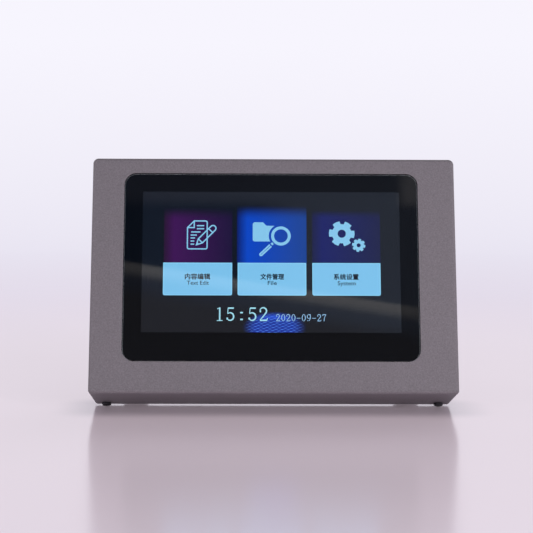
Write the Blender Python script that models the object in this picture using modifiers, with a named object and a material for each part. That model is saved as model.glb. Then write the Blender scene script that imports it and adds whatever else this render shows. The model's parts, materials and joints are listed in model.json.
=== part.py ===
"""Date code inkjet printer: the touch-screen controller of an online thermal inkjet coder.

A folded sheet-metal box leans back on two screw heads at its rear lower edge and on a folding
stand behind.  Everything is built upright in the box's own frame and then tilted by one empty:
    x   to the right, seen by the person at the screen
    y   backwards; the outside of the rear cover is y = 0 and the front panel is at -BODY_DEPTH
    z   up along the front panel; the underside of the box is z = 0
The world origin is the bottom centre of the whole object's bounding box.  Units are metres.
"""

import math

import bmesh
import bpy
from mathutils import Matrix, Vector

MM = 0.001

# ---------------------------------------------------------------- driving dimensions
BODY_WIDTH = 218.0 * MM
BODY_HEIGHT = 143.0 * MM
BODY_DEPTH = 48.0 * MM
LEAN = math.radians(16.0)

HOUSING_WALL = 1.5 * MM
FRONT_BEND_RADIUS = 2.0 * MM
TOP_CORNER_RADIUS = 3.2 * MM

GLASS_WIDTH = 176.0 * MM
GLASS_HEIGHT = 114.2 * MM
GLASS_THICKNESS = 1.8 * MM
GLASS_RADIUS = 7.0 * MM
GLASS_CENTRE_X = -1.5 * MM
GLASS_SILL = 19.1 * MM            # underside of the box to the lower edge of the glass
GLASS_RECESS = 0.3 * MM           # panel face to glass face
GLASS_EDGE_CHAMFER = 0.3 * MM

DISPLAY_WIDTH = 154.2 * MM        # lit area
DISPLAY_HEIGHT = 86.0 * MM
DISPLAY_SILL = 17.3 * MM          # lower edge of the glass to the lit area
LCD_SIDE_BORDER = 5.35 * MM
LCD_TOP_BORDER = 5.1 * MM
LCD_BOTTOM_BORDER = 8.9 * MM
LCD_PANEL_THICKNESS = 1.8 * MM
BACKLIGHT_THICKNESS = 3.8 * MM
TAPE_THICKNESS = 0.5 * MM
TAPE_INSET = 1.0 * MM             # glass edge to tape edge

CARRIER_WALL = 1.2 * MM
CARRIER_LIP = 7.0 * MM
CARRIER_SIDE_GAP = 9.5 * MM       # housing's inner wall to the carrier
CARRIER_END_GAP = 5.0 * MM
CARRIER_WINDOW_CLEARANCE = 1.0 * MM
CARRIER_STUD_EDGE = 5.0 * MM      # carrier's side edge to its studs
CARRIER_STUD_END = 14.0 * MM      # carrier's top or bottom edge to its studs
STUD_RADIUS = 1.5 * MM
STUD_SHOULDER_RADIUS = 2.6 * MM
STUD_PROJECTION = 4.0 * MM        # past the carrier

COVER_WALL = 1.2 * MM
COVER_FLANGE = 12.0 * MM
COVER_BEND_RADIUS = 1.6 * MM
COVER_CORNER_RADIUS = 2.4 * MM
COVER_SCREW_SIDE = 7.7 * MM       # side of the box to a cover screw
COVER_SCREW_REAR = 6.7 * MM       # outside of the cover to a cover screw
CLINCH_NUT_RADIUS = 2.8 * MM
CLINCH_NUT_HEIGHT = 1.6 * MM

SCREW_HEAD_RADIUS = 2.8 * MM      # M3 pan head
SCREW_HEAD_HEIGHT = 1.9 * MM
SCREW_HEAD_LAND = 1.9 * MM        # radius of the head's flat end
SCREW_SHANK_RADIUS = 1.45 * MM
SCREW_LENGTH = 7.0 * MM
SCREW_CLEARANCE = 0.3 * MM

BOARD_WIDTH = 149.5 * MM
BOARD_HEIGHT = 74.0 * MM
BOARD_THICKNESS = 1.6 * MM
BOARD_TO_SWITCH = 1.2 * MM        # board's left edge to the switch's case
BOARD_SILL = 5.5 * MM
BOARD_SPACE = 12.3 * MM           # inside of the rear cover to the board
BOARD_HOLE_EDGE = 4.0 * MM
STANDOFF_RADIUS = 2.75 * MM

VENT_LENGTH = 30.0 * MM
VENT_HEIGHT = 2.4 * MM
VENT_PITCH = 4.6 * MM
VENT_COLUMN_PITCH = 36.0 * MM
VENT_COLUMNS = 4
UPPER_VENT_ROWS = 5
UPPER_VENT_TOP = 12.0 * MM        # top of the box to the highest slot
LOWER_VENT_ROWS = 4
LOWER_VENT_SILL = 57.0 * MM

PORT_ROW = 15.0 * MM              # height of the lower row of ports
PRINTHEAD_PORT_X = -35.0 * MM
PRINTHEAD_FLANGE = (53.0 * MM, 12.5 * MM)
PRINTHEAD_SHELL = (39.0 * MM, 8.4 * MM)
PRINTHEAD_BODY = (41.0 * MM, 10.6 * MM)
PRINTHEAD_FLANGE_THICKNESS = 1.0 * MM
PRINTHEAD_SHELL_PROJECTION = 5.9 * MM
JACKSCREW_SPACING = 47.0 * MM
JACKSCREW_RADIUS = 2.9 * MM
JACKSCREW_HEIGHT = 4.8 * MM
USB_X = 3.0 * MM
USB_SIZE = (13.4 * MM, 6.0 * MM)
USB_MOUTH = (12.4 * MM, 5.0 * MM)
USB_TONGUE = (11.0 * MM, 1.8 * MM)
ETHERNET_X = 21.0 * MM
ETHERNET_SIZE = (16.0 * MM, 13.4 * MM)
ETHERNET_MOUTH = (11.8 * MM, 7.4 * MM)
ETHERNET_LATCH = (6.2 * MM, 3.0 * MM)
PORT_PROJECTION = 0.8 * MM        # board-mounted ports past the cover
PORT_WALL_DEPTH = 2.4 * MM        # closed bottom of a board-mounted port
SOCKET_FIRST_X = 40.0 * MM
SOCKET_PITCH = 16.0 * MM
SOCKET_NAMES = ("sensor_socket", "encoder_socket", "alarm_socket")
SOCKET_FLANGE_RADIUS = 7.2 * MM
SOCKET_FLANGE_THICKNESS = 1.8 * MM
SOCKET_BARREL_RADIUS = 5.4 * MM
SOCKET_BARREL_LENGTH = 6.0 * MM
SOCKET_INSERT_RADIUS = 4.4 * MM
SOCKET_INSERT_RECESS = 1.0 * MM
SOCKET_BODY_DEPTH = 10.0 * MM
SOCKET_NUT_RADIUS = 7.6 * MM
SOCKET_NUT_THICKNESS = 2.4 * MM
POWER_COLUMN_X = -71.5 * MM
POWER_SOCKET_Z = 17.0 * MM
POWER_SOCKET_BORE = 2.9 * MM
POWER_SOCKET_PIN = 1.05 * MM
POWER_SOCKET_PIN_RECESS = 1.2 * MM
POWER_SOCKET_BARREL_LENGTH = 1.6 * MM
POWER_SOCKET_BORE_DEPTH = 9.0 * MM
SWITCH_Z = 43.0 * MM
SWITCH_BEZEL = (15.0 * MM, 2.0 * MM, 21.0 * MM)
SWITCH_BODY = (13.0 * MM, 16.0 * MM, 19.2 * MM)
ROCKER_RADIUS = 6.6 * MM
ROCKER_WIDTH = 8.8 * MM
ROCKER_END_ANGLE = math.radians(24.0)
ROCKER_VALLEY = 1.6 * MM
ROCKER_TILT = math.radians(12.0)
ROCKER_CLEARANCE = 0.4 * MM
ROCKER_PIVOT_SINK = 2.1 * MM      # bezel face to the rocker's pivot
EARTH_STUD_X = -60.0 * MM
EARTH_STUD_Z = 90.0 * MM
EARTH_HEAD_RADIUS = 3.6 * MM
EARTH_HEAD_HEIGHT = 2.6 * MM

STAND_LEG_X = 88.0 * MM
STAND_LEG_WIDTH = 12.5 * MM
STAND_SHEET = 2.0 * MM
STAND_LENGTH = 100.0 * MM         # hinge axis to the sole, along the leg
STAND_CROSSBAR_TOP = 8.0 * MM     # hinge axis to the crossbar
STAND_CROSSBAR_HEIGHT = 18.0 * MM
HINGE_HEIGHT = 100.0 * MM
HINGE_OUT = 5.4 * MM
HINGE_PIN_RADIUS = 1.5 * MM
HINGE_RUNNING_CLEARANCE = 0.07 * MM
KNUCKLE_RADIUS = 3.4 * MM
KNUCKLE_SIDE_CLEARANCE = 0.4 * MM
BRACKET_WALL = 1.2 * MM
BRACKET_HEIGHT = 15.0 * MM
BRACKET_LUG_RADIUS = 3.9 * MM
FOOT_PAD_HALF_THICKNESS = 3.5 * MM
FOOT_PAD_SIDE = 1.6 * MM          # rubber beside the leg
FOOT_PAD_HEIGHT = 12.0 * MM
FOOT_PAD_SOLE = 3.0 * MM

TOUCH_GAP = 0.3 * MM              # left between faces that meet
CUT_MARGIN = 2.0 * MM             # how far a cutter runs past what it cuts
ROUND_STEPS = 24
SMALL_ROUND_STEPS = 16
CORNER_SEGMENTS = 6

# ---------------------------------------------------------------- derived sizes
INNER_HALF_WIDTH = BODY_WIDTH / 2 - HOUSING_WALL
PANEL_FACE = -BODY_DEPTH
PANEL_BACK = PANEL_FACE + HOUSING_WALL
GLASS_FACE = PANEL_FACE + GLASS_RECESS
GLASS_BACK = GLASS_FACE + GLASS_THICKNESS
GLASS_CENTRE_Z = GLASS_SILL + GLASS_HEIGHT / 2
TAPE_FRONT = GLASS_BACK + TOUCH_GAP
CARRIER_FRONT = TAPE_FRONT + TAPE_THICKNESS + TOUCH_GAP
CARRIER_BACK = CARRIER_FRONT + CARRIER_WALL
LCD_WIDTH = DISPLAY_WIDTH + 2 * LCD_SIDE_BORDER
LCD_BOTTOM = GLASS_SILL + DISPLAY_SILL - LCD_BOTTOM_BORDER
LCD_HEIGHT = DISPLAY_HEIGHT + LCD_TOP_BORDER + LCD_BOTTOM_BORDER
LCD_CENTRE_Z = LCD_BOTTOM + LCD_HEIGHT / 2
LCD_BACK = TAPE_FRONT + LCD_PANEL_THICKNESS
BACKLIGHT_FRONT = LCD_BACK + TOUCH_GAP
BACKLIGHT_BACK = BACKLIGHT_FRONT + BACKLIGHT_THICKNESS
WINDOW_WIDTH = LCD_WIDTH + 2 * CARRIER_WINDOW_CLEARANCE
WINDOW_HEIGHT = LCD_HEIGHT + 2 * CARRIER_WINDOW_CLEARANCE
CARRIER_WIDTH = 2 * (INNER_HALF_WIDTH - CARRIER_SIDE_GAP)
CARRIER_HEIGHT = BODY_HEIGHT - 2 * (HOUSING_WALL + CARRIER_END_GAP)
CARRIER_CENTRE_Z = BODY_HEIGHT / 2

COVER_WIDTH = 2 * (INNER_HALF_WIDTH - TOUCH_GAP)
COVER_HEIGHT = BODY_HEIGHT - 2 * (HOUSING_WALL + TOUCH_GAP)
COVER_BACK = -COVER_WALL
BOARD_BACK = COVER_BACK - BOARD_SPACE
BOARD_FRONT = BOARD_BACK - BOARD_THICKNESS
BOARD_LEFT = POWER_COLUMN_X + SWITCH_BODY[0] / 2 + BOARD_TO_SWITCH
PORT_FOOT = BOARD_BACK + TOUCH_GAP
PORT_DEPTH = PORT_PROJECTION - PORT_FOOT
SCREW_HOLE_RADIUS = SCREW_SHANK_RADIUS + SCREW_CLEARANCE
COVER_SCREW_X = BODY_WIDTH / 2 - COVER_SCREW_SIDE
ROCKER_PIVOT_Y = TOUCH_GAP + SWITCH_BEZEL[1] - ROCKER_PIVOT_SINK

# The lowest point of the tilted screw heads touches the floor and carries the box.
HEAD_REACH = SCREW_HEAD_HEIGHT + TOUCH_GAP / 3
EDGE_LIFT = max(
    height * math.cos(LEAN) + (radius - COVER_SCREW_REAR) * math.sin(LEAN)
    for radius, height in ((SCREW_HEAD_LAND, HEAD_REACH), (SCREW_HEAD_RADIUS, HEAD_REACH / 2))
)
HINGE_DROP = HINGE_HEIGHT * math.cos(LEAN) - HINGE_OUT * math.sin(LEAN) + EDGE_LIFT
STAND_SLANT = math.acos(HINGE_DROP / STAND_LENGTH)
STAND_OPENING = LEAN + STAND_SLANT
HINGE_SETBACK = HINGE_HEIGHT * math.sin(LEAN) + HINGE_OUT * math.cos(LEAN)


def sole_height(offset):
    """Height of the floor in the stand's own frame, at a distance in front of the leg's middle."""
    return -(HINGE_DROP + offset * math.sin(STAND_SLANT)) / math.cos(STAND_SLANT)


FRONTMOST = (
    -(BODY_DEPTH - FRONT_BEND_RADIUS) * math.cos(LEAN)
    + FRONT_BEND_RADIUS * math.sin(LEAN)
    - FRONT_BEND_RADIUS
)
REARMOST = (
    HINGE_SETBACK
    + FOOT_PAD_HALF_THICKNESS * math.cos(STAND_SLANT)
    - sole_height(FOOT_PAD_HALF_THICKNESS) * math.sin(STAND_SLANT)
)
ORIGIN_SHIFT = -(FRONTMOST + REARMOST) / 2


# ---------------------------------------------------------------- scene and materials
def clear_scene():
    """Remove every object that a new file starts with."""
    for item in list(bpy.data.objects):
        bpy.data.objects.remove(item)


clear_scene()
PARTS = bpy.data.collections.new("date_code_inkjet_printer")
CUTTERS = bpy.data.collections.new("cutters")
bpy.context.scene.collection.children.link(PARTS)
bpy.context.scene.collection.children.link(CUTTERS)


def make_material(name, colour, roughness, metallic):
    """Return a Principled material with one colour."""
    material = bpy.data.materials.new(name)
    material.use_nodes = True
    shader = material.node_tree.nodes["Principled BSDF"]
    shader.inputs["Base Color"].default_value = (*colour, 1.0)
    shader.inputs["Roughness"].default_value = roughness
    shader.inputs["Metallic"].default_value = metallic
    return material


HOUSING_PAINT = make_material("housing_paint", (0.17, 0.15, 0.16), 0.5, 0.3)
COVER_PAINT = make_material("cover_paint", (0.16, 0.14, 0.15), 0.5, 0.3)
BLACK_GLASS = make_material("black_glass", (0.01, 0.01, 0.012), 0.08, 0.0)
BLACK_FOAM = make_material("black_foam", (0.02, 0.02, 0.02), 0.9, 0.0)
ZINC_STEEL = make_material("zinc_steel", (0.55, 0.55, 0.54), 0.35, 1.0)
NICKEL = make_material("nickel", (0.62, 0.60, 0.56), 0.25, 1.0)
STAND_STEEL = make_material("stand_steel", (0.15, 0.14, 0.15), 0.5, 0.3)
LCD_FILM = make_material("lcd_film", (0.03, 0.04, 0.06), 0.3, 0.0)
BOARD_LAMINATE = make_material("board_laminate", (0.02, 0.12, 0.05), 0.45, 0.0)
BLACK_PLASTIC = make_material("black_plastic", (0.02, 0.02, 0.02), 0.45, 0.0)
RIBBON_FILM = make_material("ribbon_film", (0.75, 0.74, 0.70), 0.4, 0.0)
HEATSINK_ALUMINIUM = make_material("heatsink_aluminium", (0.10, 0.10, 0.11), 0.4, 1.0)
CELL_STEEL = make_material("cell_steel", (0.70, 0.70, 0.70), 0.25, 1.0)
BRASS = make_material("brass", (0.66, 0.50, 0.22), 0.3, 1.0)
RUBBER = make_material("rubber", (0.025, 0.025, 0.025), 0.85, 0.0)


def make_empty(name, location, rotation_x, parent=None):
    """Return an empty that carries a group of parts."""
    empty = bpy.data.objects.new(name, None)
    empty.location = location
    empty.rotation_euler = (rotation_x, 0.0, 0.0)
    empty.parent = parent
    PARTS.objects.link(empty)
    return empty


BODY_FRAME = make_empty("body_frame", (0.0, ORIGIN_SHIFT, EDGE_LIFT), -LEAN)
STAND_FRAME = make_empty("stand_axis", (0.0, HINGE_OUT, HINGE_HEIGHT), STAND_OPENING, BODY_FRAME)
ROCKER_FRAME = make_empty(
    "rocker_axis", (POWER_COLUMN_X, ROCKER_PIVOT_Y, SWITCH_Z), -ROCKER_TILT, BODY_FRAME
)


# ---------------------------------------------------------------- modelling helpers
def add_object(name, mesh, location, material, parent=None):
    """Link a mesh as a part, or as a cutter when it has no material."""
    item = bpy.data.objects.new(name, mesh)
    item.parent = parent or BODY_FRAME
    item.location = location
    if material is None:
        item.display_type = "WIRE"
        item.hide_render = True
        CUTTERS.objects.link(item)
    else:
        mesh.materials.append(material)
        PARTS.objects.link(item)
    return item


def finish_mesh(shape, name, smooth_angle=None):
    """Turn a bmesh into a mesh, shaded smooth below an angle when one is given."""
    mesh = bpy.data.meshes.new(name)
    shape.to_mesh(mesh)
    shape.free()
    if smooth_angle is not None:
        mesh.shade_smooth()
        mesh.set_sharp_from_angle(angle=math.radians(smooth_angle))
    return mesh


def edges_along(shape, axis):
    """Return the edges of a bmesh that run along one axis, given as 0, 1 or 2."""
    found = []
    for edge in shape.edges:
        run = edge.verts[1].co - edge.verts[0].co
        if abs(run[axis]) > 0.999 * run.length:
            found.append(edge)
    return found


def round_edges(shape, edges, radius, segments=CORNER_SEGMENTS):
    """Round some edges of a bmesh."""
    bmesh.ops.bevel(
        shape, geom=edges, offset=radius, offset_type="OFFSET", segments=segments,
        profile=0.5, affect="EDGES", clamp_overlap=True,
    )


def make_box(name, size, location, material=None, parent=None, corner=0.0, axis=1, soften=0.0,
             segments=CORNER_SEGMENTS):
    """Add a box; corner rounds the edges along one axis and soften rounds all that are left."""
    shape = bmesh.new()
    bmesh.ops.create_cube(shape, size=1.0, matrix=Matrix.Diagonal((*size, 1.0)))
    if corner > 0.0:
        round_edges(shape, edges_along(shape, axis), corner, segments)
    item = add_object(name, finish_mesh(shape, name, 30.0), location, material, parent)
    if soften > 0.0:
        bevel = item.modifiers.new("softened_edges", "BEVEL")
        bevel.width = soften
        bevel.segments = 2
        bevel.limit_method = "ANGLE"
        bevel.angle_limit = math.radians(50.0)
    return item


def make_turned(name, profile, location, material=None, parent=None, facing=None,
                steps=ROUND_STEPS):
    """Turn a profile of (radius, height) about the local z axis, which then faces one way."""
    mesh = bpy.data.meshes.new(name)
    points = [(radius, 0.0, height) for radius, height in profile]
    links = [(index, index + 1) for index in range(len(points) - 1)]
    if profile[0][0] > 0.0:
        links.append((len(points) - 1, 0))
    mesh.from_pydata(points, links, [])
    item = add_object(name, mesh, location, material, parent)
    if facing is not None:
        item.rotation_euler = Vector(facing).to_track_quat("Z", "X").to_euler()
    screw = item.modifiers.new("turned", "SCREW")
    screw.axis = "Z"
    screw.steps = steps
    screw.render_steps = steps
    screw.use_merge_vertices = True
    screw.merge_threshold = 0.00001
    screw.use_smooth_shade = True
    return item


def make_bar(name, radius, length, location, material=None, parent=None, facing=None,
             sides=ROUND_STEPS):
    """Add a plain cylinder or prism centred on its location; 6 sides make a hexagon."""
    shape = bmesh.new()
    bmesh.ops.create_cone(
        shape, cap_ends=True, segments=sides, radius1=radius, radius2=radius, depth=length
    )
    smooth_angle = 30.0 if sides > 8 else None
    item = add_object(name, finish_mesh(shape, name, smooth_angle), location, material, parent)
    if facing is not None:
        item.rotation_euler = Vector(facing).to_track_quat("Z", "X").to_euler()
    return item


def make_strip(name, path, width, thickness, location, material, parent=None, along=0,
               bend_radius=0.0):
    """Bend a strip of sheet along a path of points; along is the axis of its width."""
    shape = bmesh.new()
    rows = []
    for side in (-width / 2, width / 2):
        row = []
        for first, second in path:
            place = {0: (side, first, second), 2: (first, second, side)}[along]
            row.append(shape.verts.new(place))
        rows.append(row)
    for index in range(len(path) - 1):
        shape.faces.new(
            (rows[0][index], rows[1][index], rows[1][index + 1], rows[0][index + 1])
        )
    item = add_object(name, finish_mesh(shape, name), location, material, parent)
    if bend_radius > 0.0:
        bevel = item.modifiers.new("bends", "BEVEL")
        bevel.width = bend_radius
        bevel.segments = 4
        bevel.limit_method = "ANGLE"
        bevel.angle_limit = math.radians(20.0)
    solidify = item.modifiers.new("sheet", "SOLIDIFY")
    solidify.thickness = thickness
    solidify.offset = 0.0
    solidify.use_even_offset = True
    return item


def make_tray(name, size, wall, open_towards, location, material, corner=0.0, bend=0.0,
              open_sides=False):
    """Add a folded sheet tray: a box without one y face, thickened inwards."""
    shape = bmesh.new()
    bmesh.ops.create_cube(shape, size=1.0, matrix=Matrix.Diagonal((*size, 1.0)))
    shape.normal_update()
    removed = [face for face in shape.faces if face.normal.y * open_towards > 0.9]
    if open_sides:
        removed += [face for face in shape.faces if abs(face.normal.x) > 0.9]
    bmesh.ops.delete(shape, geom=removed, context="FACES")
    if corner > 0.0:
        upper = [edge for edge in edges_along(shape, 1) if edge.verts[0].co.z > 0.0]
        round_edges(shape, upper, corner)
    if bend > 0.0:
        panel = -open_towards * size[1] / 2
        rim = [
            edge for edge in shape.edges
            if all(abs(vert.co.y - panel) < 1e-6 for vert in edge.verts)
            and len(edge.link_faces) == 2
        ]
        round_edges(shape, rim, bend, 4)
    item = add_object(name, finish_mesh(shape, name, 30.0), location, material)
    solidify = item.modifiers.new("sheet", "SOLIDIFY")
    solidify.thickness = wall
    solidify.offset = -1.0
    solidify.use_even_offset = True
    return item


def combine(item, other, operation, keep=False):
    """Cut one object by another, or join the other to it, and file the other as a cutter."""
    modifier = item.modifiers.new(other.name, "BOOLEAN")
    modifier.operation = operation
    modifier.object = other
    modifier.solver = "EXACT"
    if not keep and other.name in PARTS.objects:
        PARTS.objects.unlink(other)
        CUTTERS.objects.link(other)
        other.display_type = "WIRE"
        other.hide_render = True


def cut(item, cutter):
    """Take a cutter's shape away from an object."""
    combine(item, cutter, "DIFFERENCE")


def join(item, other):
    """Weld another shape to an object."""
    combine(item, other, "UNION")


# ---------------------------------------------------------------- housing and rear cover
def cover_screw_places():
    """Return (x, side) for each cover screw; side is -1 at the bottom and 1 at the top."""
    return [(x, side) for side in (-1, 1) for x in (-COVER_SCREW_X, COVER_SCREW_X)]


def carrier_stud_places():
    """Return (x, z) for each stud that holds the display carrier."""
    x = CARRIER_WIDTH / 2 - CARRIER_STUD_EDGE
    z = CARRIER_HEIGHT / 2 - CARRIER_STUD_END
    return [(sx * x, CARRIER_CENTRE_Z + sz * z) for sz in (-1, 1) for sx in (-1, 1)]


def build_front_housing():
    """The folded front panel with its four side walls, the glass opening and welded studs."""
    housing = make_tray(
        "front_housing", (BODY_WIDTH, BODY_DEPTH, BODY_HEIGHT), HOUSING_WALL, 1,
        (0.0, -BODY_DEPTH / 2, BODY_HEIGHT / 2), HOUSING_PAINT,
        corner=TOP_CORNER_RADIUS, bend=FRONT_BEND_RADIUS,
    )
    opening = make_box(
        "glass_opening",
        (GLASS_WIDTH + 2 * TOUCH_GAP, 4 * HOUSING_WALL, GLASS_HEIGHT + 2 * TOUCH_GAP),
        (GLASS_CENTRE_X, PANEL_FACE, GLASS_CENTRE_Z), corner=GLASS_RADIUS + TOUCH_GAP,
    )
    cut(housing, opening)
    for index, (x, side) in enumerate(cover_screw_places(), 1):
        hole = make_bar(
            f"housing_screw_hole_{index}", SCREW_HOLE_RADIUS, 4 * HOUSING_WALL,
            (x, -COVER_SCREW_REAR, BODY_HEIGHT * (side + 1) / 2), sides=SMALL_ROUND_STEPS,
        )
        cut(housing, hole)
    for index, (x, z) in enumerate(carrier_stud_places(), 1):
        shoulder_end = CARRIER_FRONT - TOUCH_GAP
        weld_start = PANEL_BACK - HOUSING_WALL / 3
        stud_end = CARRIER_BACK + STUD_PROJECTION
        profile = (
            (0.0, stud_end - weld_start), (STUD_RADIUS, stud_end - weld_start),
            (STUD_RADIUS, shoulder_end - weld_start),
            (STUD_SHOULDER_RADIUS, shoulder_end - weld_start), (STUD_SHOULDER_RADIUS, 0.0),
            (0.0, 0.0),
        )
        stud = make_turned(
            f"weld_stud_{index}", profile, (x, weld_start, z), facing=(0.0, 1.0, 0.0),
            steps=SMALL_ROUND_STEPS,
        )
        join(housing, stud)
    return housing


def make_vent_cutter(name, rows, lowest):
    """Return a cutter with a block of rounded vent slots, repeated by two arrays."""
    left = -VENT_COLUMN_PITCH * (VENT_COLUMNS - 1) / 2
    slot = make_box(
        name, (VENT_LENGTH, 4 * COVER_WALL, VENT_HEIGHT), (left, COVER_BACK / 2, lowest),
        corner=VENT_HEIGHT / 2 - TOUCH_GAP / 10, segments=3,
    )
    for label, count, step in (
        ("columns", VENT_COLUMNS, (VENT_COLUMN_PITCH, 0.0, 0.0)),
        ("rows", rows, (0.0, 0.0, VENT_PITCH)),
    ):
        array = slot.modifiers.new(label, "ARRAY")
        array.count = count
        array.use_relative_offset = False
        array.use_constant_offset = True
        array.constant_offset_displace = step
    return slot


def build_rear_cover():
    """The flanged rear cover with its clinch nuts, vents and port cut-outs."""
    cover = make_tray(
        "rear_cover", (COVER_WIDTH, COVER_FLANGE, COVER_HEIGHT), COVER_WALL, -1,
        (0.0, -COVER_FLANGE / 2, BODY_HEIGHT / 2), COVER_PAINT,
        corner=COVER_CORNER_RADIUS, bend=COVER_BEND_RADIUS,
    )
    flange_face = COVER_HEIGHT / 2 - COVER_WALL
    for index, (x, side) in enumerate(cover_screw_places(), 1):
        nut_reach = CLINCH_NUT_HEIGHT + COVER_WALL / 2
        nut_middle = flange_face + COVER_WALL / 2 - nut_reach / 2
        boss = make_bar(
            f"clinch_nut_{index}", CLINCH_NUT_RADIUS, nut_reach,
            (x, -COVER_SCREW_REAR, BODY_HEIGHT / 2 + side * nut_middle), sides=SMALL_ROUND_STEPS,
        )
        join(cover, boss)
        hole = make_bar(
            f"cover_screw_hole_{index}", SCREW_HOLE_RADIUS, 4 * nut_reach,
            (x, -COVER_SCREW_REAR, BODY_HEIGHT / 2 + side * nut_middle), sides=SMALL_ROUND_STEPS,
        )
        cut(cover, hole)

    upper_rows = (UPPER_VENT_ROWS - 1) * VENT_PITCH
    cut(cover, make_vent_cutter(
        "upper_vents", UPPER_VENT_ROWS, BODY_HEIGHT - UPPER_VENT_TOP - upper_rows))
    cut(cover, make_vent_cutter("lower_vents", LOWER_VENT_ROWS, LOWER_VENT_SILL))

    rectangular = (
        ("printhead_cutout", PRINTHEAD_BODY, PRINTHEAD_PORT_X, PORT_ROW),
        ("usb_cutout", USB_SIZE, USB_X, PORT_ROW),
        ("ethernet_cutout", ETHERNET_SIZE, ETHERNET_X, PORT_ROW),
        ("switch_cutout", (SWITCH_BODY[0], SWITCH_BODY[2]), POWER_COLUMN_X, SWITCH_Z),
    )
    for name, (width, height), x, z in rectangular:
        cut(cover, make_box(
            name, (width + 2 * TOUCH_GAP, 4 * COVER_WALL, height + 2 * TOUCH_GAP),
            (x, COVER_BACK / 2, z)))
    rounds = [(name, SOCKET_BARREL_RADIUS, x, PORT_ROW) for name, x in socket_places()]
    rounds.append(("power_socket", SOCKET_BARREL_RADIUS, POWER_COLUMN_X, POWER_SOCKET_Z))
    rounds.append(("earth_stud", SCREW_SHANK_RADIUS, EARTH_STUD_X, EARTH_STUD_Z))
    for x in jackscrew_places():
        rounds.append((f"jackscrew_{'left' if x < PRINTHEAD_PORT_X else 'right'}",
                       SCREW_SHANK_RADIUS, x, PORT_ROW))
    for name, radius, x, z in rounds:
        cut(cover, make_bar(
            f"{name}_hole", radius + TOUCH_GAP, 4 * COVER_WALL, (x, COVER_BACK / 2, z),
            facing=(0.0, 1.0, 0.0), sides=SMALL_ROUND_STEPS))
    return cover


def build_cover_screws():
    """Pan head screws through the top and bottom walls; the lower two carry the box."""
    for index, (x, side) in enumerate(cover_screw_places(), 1):
        head_top = HEAD_REACH
        profile = (
            (0.0, head_top), (SCREW_HEAD_LAND, head_top),
            ((SCREW_HEAD_LAND + SCREW_HEAD_RADIUS) / 2, head_top * 0.86),
            (SCREW_HEAD_RADIUS, head_top / 2), (SCREW_HEAD_RADIUS, TOUCH_GAP / 3),
            (SCREW_SHANK_RADIUS, TOUCH_GAP / 3), (SCREW_SHANK_RADIUS, -SCREW_LENGTH),
            (0.0, -SCREW_LENGTH),
        )
        place = "bottom" if side < 0 else "top"
        hand = "left" if x < 0 else "right"
        make_turned(
            f"cover_screw_{place}_{hand}", profile,
            (x, -COVER_SCREW_REAR, BODY_HEIGHT * (side + 1) / 2), ZINC_STEEL,
            facing=(0.0, 0.0, side), steps=ROUND_STEPS,
        )


# ---------------------------------------------------------------- glass, display and carrier
def build_glass():
    """The black bordered cover glass, set just below the panel face."""
    make_box(
        "cover_glass", (GLASS_WIDTH, GLASS_THICKNESS, GLASS_HEIGHT),
        (GLASS_CENTRE_X, GLASS_FACE + GLASS_THICKNESS / 2, GLASS_CENTRE_Z), BLACK_GLASS,
        corner=GLASS_RADIUS, soften=GLASS_EDGE_CHAMFER,
    )


def build_glass_tape():
    """The foam tape frame that bonds the glass to the display carrier."""
    tape = make_box(
        "glass_tape",
        (GLASS_WIDTH - 2 * TAPE_INSET, TAPE_THICKNESS, GLASS_HEIGHT - 2 * TAPE_INSET),
        (GLASS_CENTRE_X, TAPE_FRONT + TAPE_THICKNESS / 2, GLASS_CENTRE_Z), BLACK_FOAM,
        corner=GLASS_RADIUS - TAPE_INSET,
    )
    window = make_box(
        "tape_window", (WINDOW_WIDTH, 4 * TAPE_THICKNESS, WINDOW_HEIGHT),
        (GLASS_CENTRE_X, TAPE_FRONT + TAPE_THICKNESS / 2, LCD_CENTRE_Z),
    )
    cut(tape, window)


def build_display_carrier():
    """The lipped sheet that carries the display and backs the glass border."""
    carrier = make_tray(
        "display_carrier", (CARRIER_WIDTH, CARRIER_LIP, CARRIER_HEIGHT), CARRIER_WALL, 1,
        (0.0, CARRIER_FRONT + CARRIER_LIP / 2, CARRIER_CENTRE_Z), ZINC_STEEL,
        bend=COVER_BEND_RADIUS, open_sides=True,
    )
    cut(carrier, make_box(
        "carrier_window", (WINDOW_WIDTH, 4 * CARRIER_WALL, WINDOW_HEIGHT),
        (GLASS_CENTRE_X, CARRIER_FRONT + CARRIER_WALL / 2, LCD_CENTRE_Z)))
    for index, (x, z) in enumerate(carrier_stud_places(), 1):
        cut(carrier, make_bar(
            f"carrier_stud_hole_{index}", STUD_RADIUS + TOUCH_GAP, 4 * CARRIER_WALL,
            (x, CARRIER_FRONT + CARRIER_WALL / 2, z), facing=(0.0, 1.0, 0.0),
            sides=SMALL_ROUND_STEPS))


def build_carrier_nuts():
    """Hexagon nuts on the studs of the front panel."""
    thickness = 2.4 * MM
    for index, (x, z) in enumerate(carrier_stud_places(), 1):
        place = (x, CARRIER_BACK + TOUCH_GAP + thickness / 2, z)
        nut = make_bar(
            f"carrier_nut_{index}", 3.1 * MM, thickness, place, ZINC_STEEL,
            facing=(0.0, 1.0, 0.0), sides=6,
        )
        cut(nut, make_bar(
            f"carrier_nut_bore_{index}", STUD_RADIUS + TOUCH_GAP, 2 * thickness, place,
            facing=(0.0, 1.0, 0.0), sides=SMALL_ROUND_STEPS))


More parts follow.
